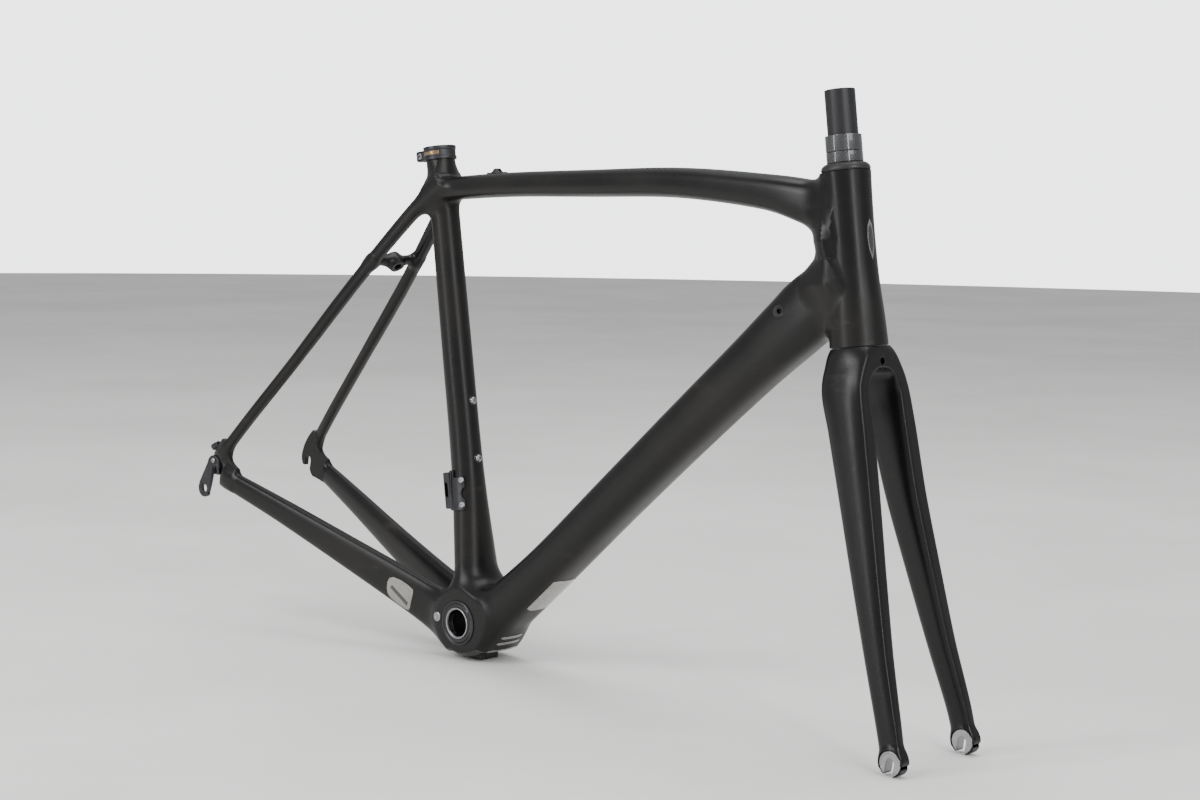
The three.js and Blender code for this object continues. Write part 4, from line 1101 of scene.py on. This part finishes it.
def guide_field(points):
    """The guide under the bottom bracket, with two cable grooves. Its foot is flat on the floor."""
    radius = np.hypot(points[:, 0], points[:, 2])
    y = np.abs(points[:, 1])
    grooves = np.hypot(radius - 44.7, np.abs(y - 6)) - 2.1
    band = np.maximum(np.maximum(38.3 - radius, radius - 44.5), y - 13)
    band = np.maximum(band, block(STAND_DOWN * 42, (STAND_ALONG, LEFT, STAND_DOWN), (15, 14, 9), 2)(points))
    band = np.maximum(band, dot(points, STAND_DOWN) - (BRACKET_HEIGHT - 0.02))
    band = carve(band, grooves, 0.6)
    return carve(band, round_bore(STAND_DOWN * 45, STAND_DOWN, 3.9, -4.9, 20)(points), 0.5)


fitting("cable_guide", guide_field, STAND_DOWN * 40, (20, 15, 12), 0.6, PLASTIC, "frame", "black_plastic",
        "bb_cable_guide")
screw("guide_screw", STAND_DOWN * 40.3, STAND_DOWN, (2.3, 8, 3.4, 1.7, 1.2),
      "bolt_steel", BOLT, "bb_guide_screw")


def tip_disc(side, corner=0.8):
    """The field of a silver axle dropout, slotted and slightly dished on its outer face."""
    def field(points):
        disc = round_bore(FRONT_AXLE, LEFT * side, 11.5)(points) + corner
        y = points[:, 1] * side
        flat = np.maximum(50.05 - y, y - 62.55) + corner
        edge = np.hypot(np.maximum(disc, 0), np.maximum(flat, 0))
        whole = np.minimum(np.maximum(disc, flat), 0) + edge - corner
        recess = round_bore(FRONT_AXLE, LEFT * side, 9.4, 62.0, 70)(points)
        return carve(carve(whole, recess, 0.4), axle_slot(points), 0.6)
    return field


for side_name, side in (("right", -1), ("left", 1)):
    fitting("tip_disc_" + side_name, tip_disc(side), FRONT_AXLE + LEFT * side * 56, (13, 8, 13),
            0.55, SILVER, "fork", "silver_alloy", "fork_dropout_" + side_name)


# ---------------------------------------------------------------- thin films
def film(name, field, low, high, planes, material, lift=0.3, voxel=1.0):
    """A thin film that follows a moulded surface, trimmed by planes given as (point, outward)."""
    low = np.array(low, float)

    def raised(points):
        return field(points) - lift

    vertices, quads = surface_net(grid_values(raised, low, np.array(high, float), voxel), low, voxel)
    data = bpy.data.meshes.new(name)
    data.from_pydata(settle(raised, vertices, voxel).tolist(), [], quads.tolist())
    mesh = bmesh.new()
    mesh.from_mesh(data)
    for at, outward in planes:
        everything = mesh.verts[:] + mesh.edges[:] + mesh.faces[:]
        bmesh.ops.bisect_plane(mesh, geom=everything, dist=1e-5, plane_co=Vector(at),
                               plane_no=Vector(outward), clear_outer=True)
    bmesh.ops.recalc_face_normals(mesh, faces=mesh.faces[:])
    bmesh.ops.solidify(mesh, geom=mesh.faces[:], thickness=lift - 0.05)
    for vertex in mesh.verts:
        vertex.co = to_row(np.array(vertex.co))
    bmesh.ops.recalc_face_normals(mesh, faces=mesh.faces[:])
    return from_bmesh(name, mesh, material, sharp=60)


def outline_planes(corners, side):
    """Planes through the edges of a convex outline of [x, z] points, and one that keeps a side."""
    corners = np.array(corners, float)
    middle = corners.mean(0)
    planes = [(LEFT * side * 2, -LEFT * side)]
    for a, b in zip(corners, np.roll(corners, -1, axis=0)):
        outward = np.array([b[1] - a[1], 0, a[0] - b[0]])
        if dot(np.array([a[0] - middle[0], 0, a[1] - middle[1]]), outward) < 0:
            outward = -outward
        planes.append((np.array([a[0], 0, a[1]]), unit(outward)))
    return planes


GUARD = [[-117, 3], [-117, 11], [-114.5, 16.5], [-109, 19], [-98, 18.6], [-87, 16.4], [-78.6, 13.2],
         [-78, 9], [-80.5, -8], [-83, -12.4], [-90, -12.6], [-103, -9.6], [-112, -6], [-115.8, -2]]
guard = film("stay_guard", frame_field, (-122, -46, -20), (-72, -20, 26), outline_planes(GUARD, -1), FILM)
place_piece(guard, "frame", "guard_film", "chainstay_guard")
band = film("stay_guard_band", frame_field, (-122, -46, -20), (-72, -20, 26),
            outline_planes([[-112, 6], [-110, 9.5], [-84, -3.5], [-86, -8]], -1), DARK_FILM, lift=0.5)
place_piece(band, "frame", "guard_film")

DOWN_ALONG = unit(np.array([0.66, 0, 0.75]))
DOWN_UNDER = np.array([0.75, 0, -0.66])


def under_down_tube(start, stop, half, slant=0.35):
    """Planes around a patch under the down tube, between two distances from the bracket."""
    planes = [(DOWN_UNDER * 12, -DOWN_UNDER), (DOWN_ALONG * start, -DOWN_ALONG),
              (DOWN_ALONG * stop, DOWN_ALONG)]
    for side in (LEFT, RIGHT):
        planes.append((side * half, side))
        planes.append((DOWN_ALONG * start + side * half * 0.7, side * slant - DOWN_ALONG * (1 - slant)))
        planes.append((DOWN_ALONG * stop + side * half * 0.7, side * slant + DOWN_ALONG * (1 - slant)))
    return planes


sliver = film("down_tube_guard", frame_field, (40, -36, -20), (160, 36, 110),
              under_down_tube(84, 142, 17), FILM)
place_piece(sliver, "frame", "guard_film")
for count, (start, stop, half) in enumerate(((5, 12, 24), (20, 24, 20), (29, 33, 18)), 1):
    stripe = film(f"bracket_stripe_{count}", frame_field, (-10, -38, -50), (90, 38, 30),
                  under_down_tube(start, stop, half), FILM)
    place_piece(stripe, "frame", "guard_film")

BADGE = [[0, 20], [3.4, 14], [4.6, 3], [3.6, -8], [0, -18], [-3.6, -8], [-4.6, 3], [-3.4, 14]]
BADGE_AT = on_steerer(22, 0, 96)


def badge_planes(scale):
    """Planes around a lozenge on the front of the head tube."""
    planes = [(HEAD_FOOT + STEER_FORWARD * 8, -STEER_FORWARD)]
    corners = np.array(BADGE) * scale
    for a, b in zip(corners, np.roll(corners, -1, axis=0)):
        outward = LEFT * (b[1] - a[1]) + STEER_UP * (a[0] - b[0])
        if dot(outward, LEFT * a[0] + STEER_UP * a[1]) < 0:
            outward = -outward
        planes.append((BADGE_AT + LEFT * a[0] + STEER_UP * a[1], unit(outward)))
    return planes


for piece_name, scale, material, lift in (("head_badge", 1.0, FILM, 0.35),
                                          ("head_badge_core", 0.72, DARK_FILM, 0.55)):
    badge = film(piece_name, frame_field, BADGE_AT - [16, 12, 26], BADGE_AT + [16, 12, 26],
                 badge_planes(scale), material, lift=lift, voxel=0.8)
    place_piece(badge, "frame", "guard_film")

# ---------------------------------------------------------------- carried-over CAD nodes
CARRIED = {
    STEEL: ["headset_lower_balls", "headset_upper_balls", "bb_right_balls", "bb_left_balls"],
    BLACK_ALLOY: ["headset_lower_outer_race", "headset_lower_inner_race", "headset_upper_outer_race",
                  "headset_upper_inner_race", "crown_race", "compression_ring"],
}
for material, names in CARRIED.items():
    for name in names:
        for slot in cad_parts[name].material_slots:
            slot.material = material

# ---------------------------------------------------------------- floor, light, camera
CAMERA_AT = (1.6162, -1.6068, 0.5301)
CAMERA_AZIMUTH, CAMERA_PITCH, CAMERA_ROLL = (math.radians(a) for a in (43.743, 5.919, 0.924))


def add_camera():
    azimuth, pitch, roll = CAMERA_AZIMUTH, CAMERA_PITCH, CAMERA_ROLL
    ahead = Vector((-math.sin(azimuth) * math.cos(pitch), math.cos(azimuth) * math.cos(pitch),
                    -math.sin(pitch)))
    right = Vector((math.cos(azimuth), math.sin(azimuth), 0))
    up = right.cross(ahead)
    tilted = right * math.cos(roll) + up * math.sin(roll)
    up = up * math.cos(roll) - right * math.sin(roll)
    data = bpy.data.cameras.new("camera")
    data.lens, data.sensor_width = 64.94, 36
    data.clip_start, data.clip_end = 0.05, 60
    camera = bpy.data.objects.new("camera", data)
    camera.matrix_world = Matrix((
        (tilted.x, up.x, -ahead.x, CAMERA_AT[0]), (tilted.y, up.y, -ahead.y, CAMERA_AT[1]),
        (tilted.z, up.z, -ahead.z, CAMERA_AT[2]), (0, 0, 0, 1)))
    bpy.context.scene.collection.objects.link(camera)
    bpy.context.scene.camera = camera


def add_light(name, at, aim_at, size, power):
    data = bpy.data.lights.new(name, "AREA")
    data.shape, data.size, data.size_y, data.energy = "RECTANGLE", size[0], size[1], power
    light = bpy.data.objects.new(name, data)
    light.location = at
    light.rotation_euler = (Vector(aim_at) - Vector(at)).to_track_quat("-Z", "Y").to_euler()
    bpy.context.scene.collection.objects.link(light)


def add_floor():
    mesh = bmesh.new()
    bmesh.ops.create_circle(mesh, cap_ends=True, radius=9, segments=96)
    floor = from_bmesh("floor", mesh, None)
    look = Look("pale_floor", (0.84, 0.83, 0.81), 0.7)
    look.tint((0.76, 0.75, 0.73), look.remap(look.noise(1.5, 4, 0.6), 0.35, 0.7))
    look.bump(look.noise(90, 3, 0.5), 0.04, 0.001)
    floor.data.materials[0] = look.material


def add_world():
    """A pale studio that looks brighter to the camera than it lights the bicycle."""
    world = bpy.data.worlds.new("studio")
    bpy.context.scene.world = world
    world.use_nodes = True
    tree = world.node_tree
    backdrop = tree.nodes["Background"]
    backdrop.inputs["Color"].default_value = (0.93, 0.94, 0.96, 1)
    seen = tree.nodes.new("ShaderNodeLightPath")
    level = tree.nodes.new("ShaderNodeMapRange")
    level.inputs["To Min"].default_value = 0.6
    level.inputs["To Max"].default_value = 3.6
    tree.links.new(seen.outputs["Is Camera Ray"], level.inputs["Value"])
    tree.links.new(level.outputs["Result"], backdrop.inputs["Strength"])


add_world()
add_camera()
add_floor()
add_light("softbox_left", (-0.6, -3.0, 2.6), (0, 0, 0.3), (2.4, 1.6), 75)
add_light("softbox_right", (3.2, -0.4, 2.2), (0.2, 0, 0.3), (1.6, 1.8), 50)
add_light("softbox_top", (0.0, 0.6, 3.4), (0, 0, 0), (3.0, 2.0), 70)
add_light("strip_left", (-0.9, -2.6, 1.1), (0, 0, 0.35), (0.3, 1.9), 26)
add_light("strip_right", (2.9, -1.2, 1.1), (0.1, 0, 0.35), (0.3, 1.9), 26)
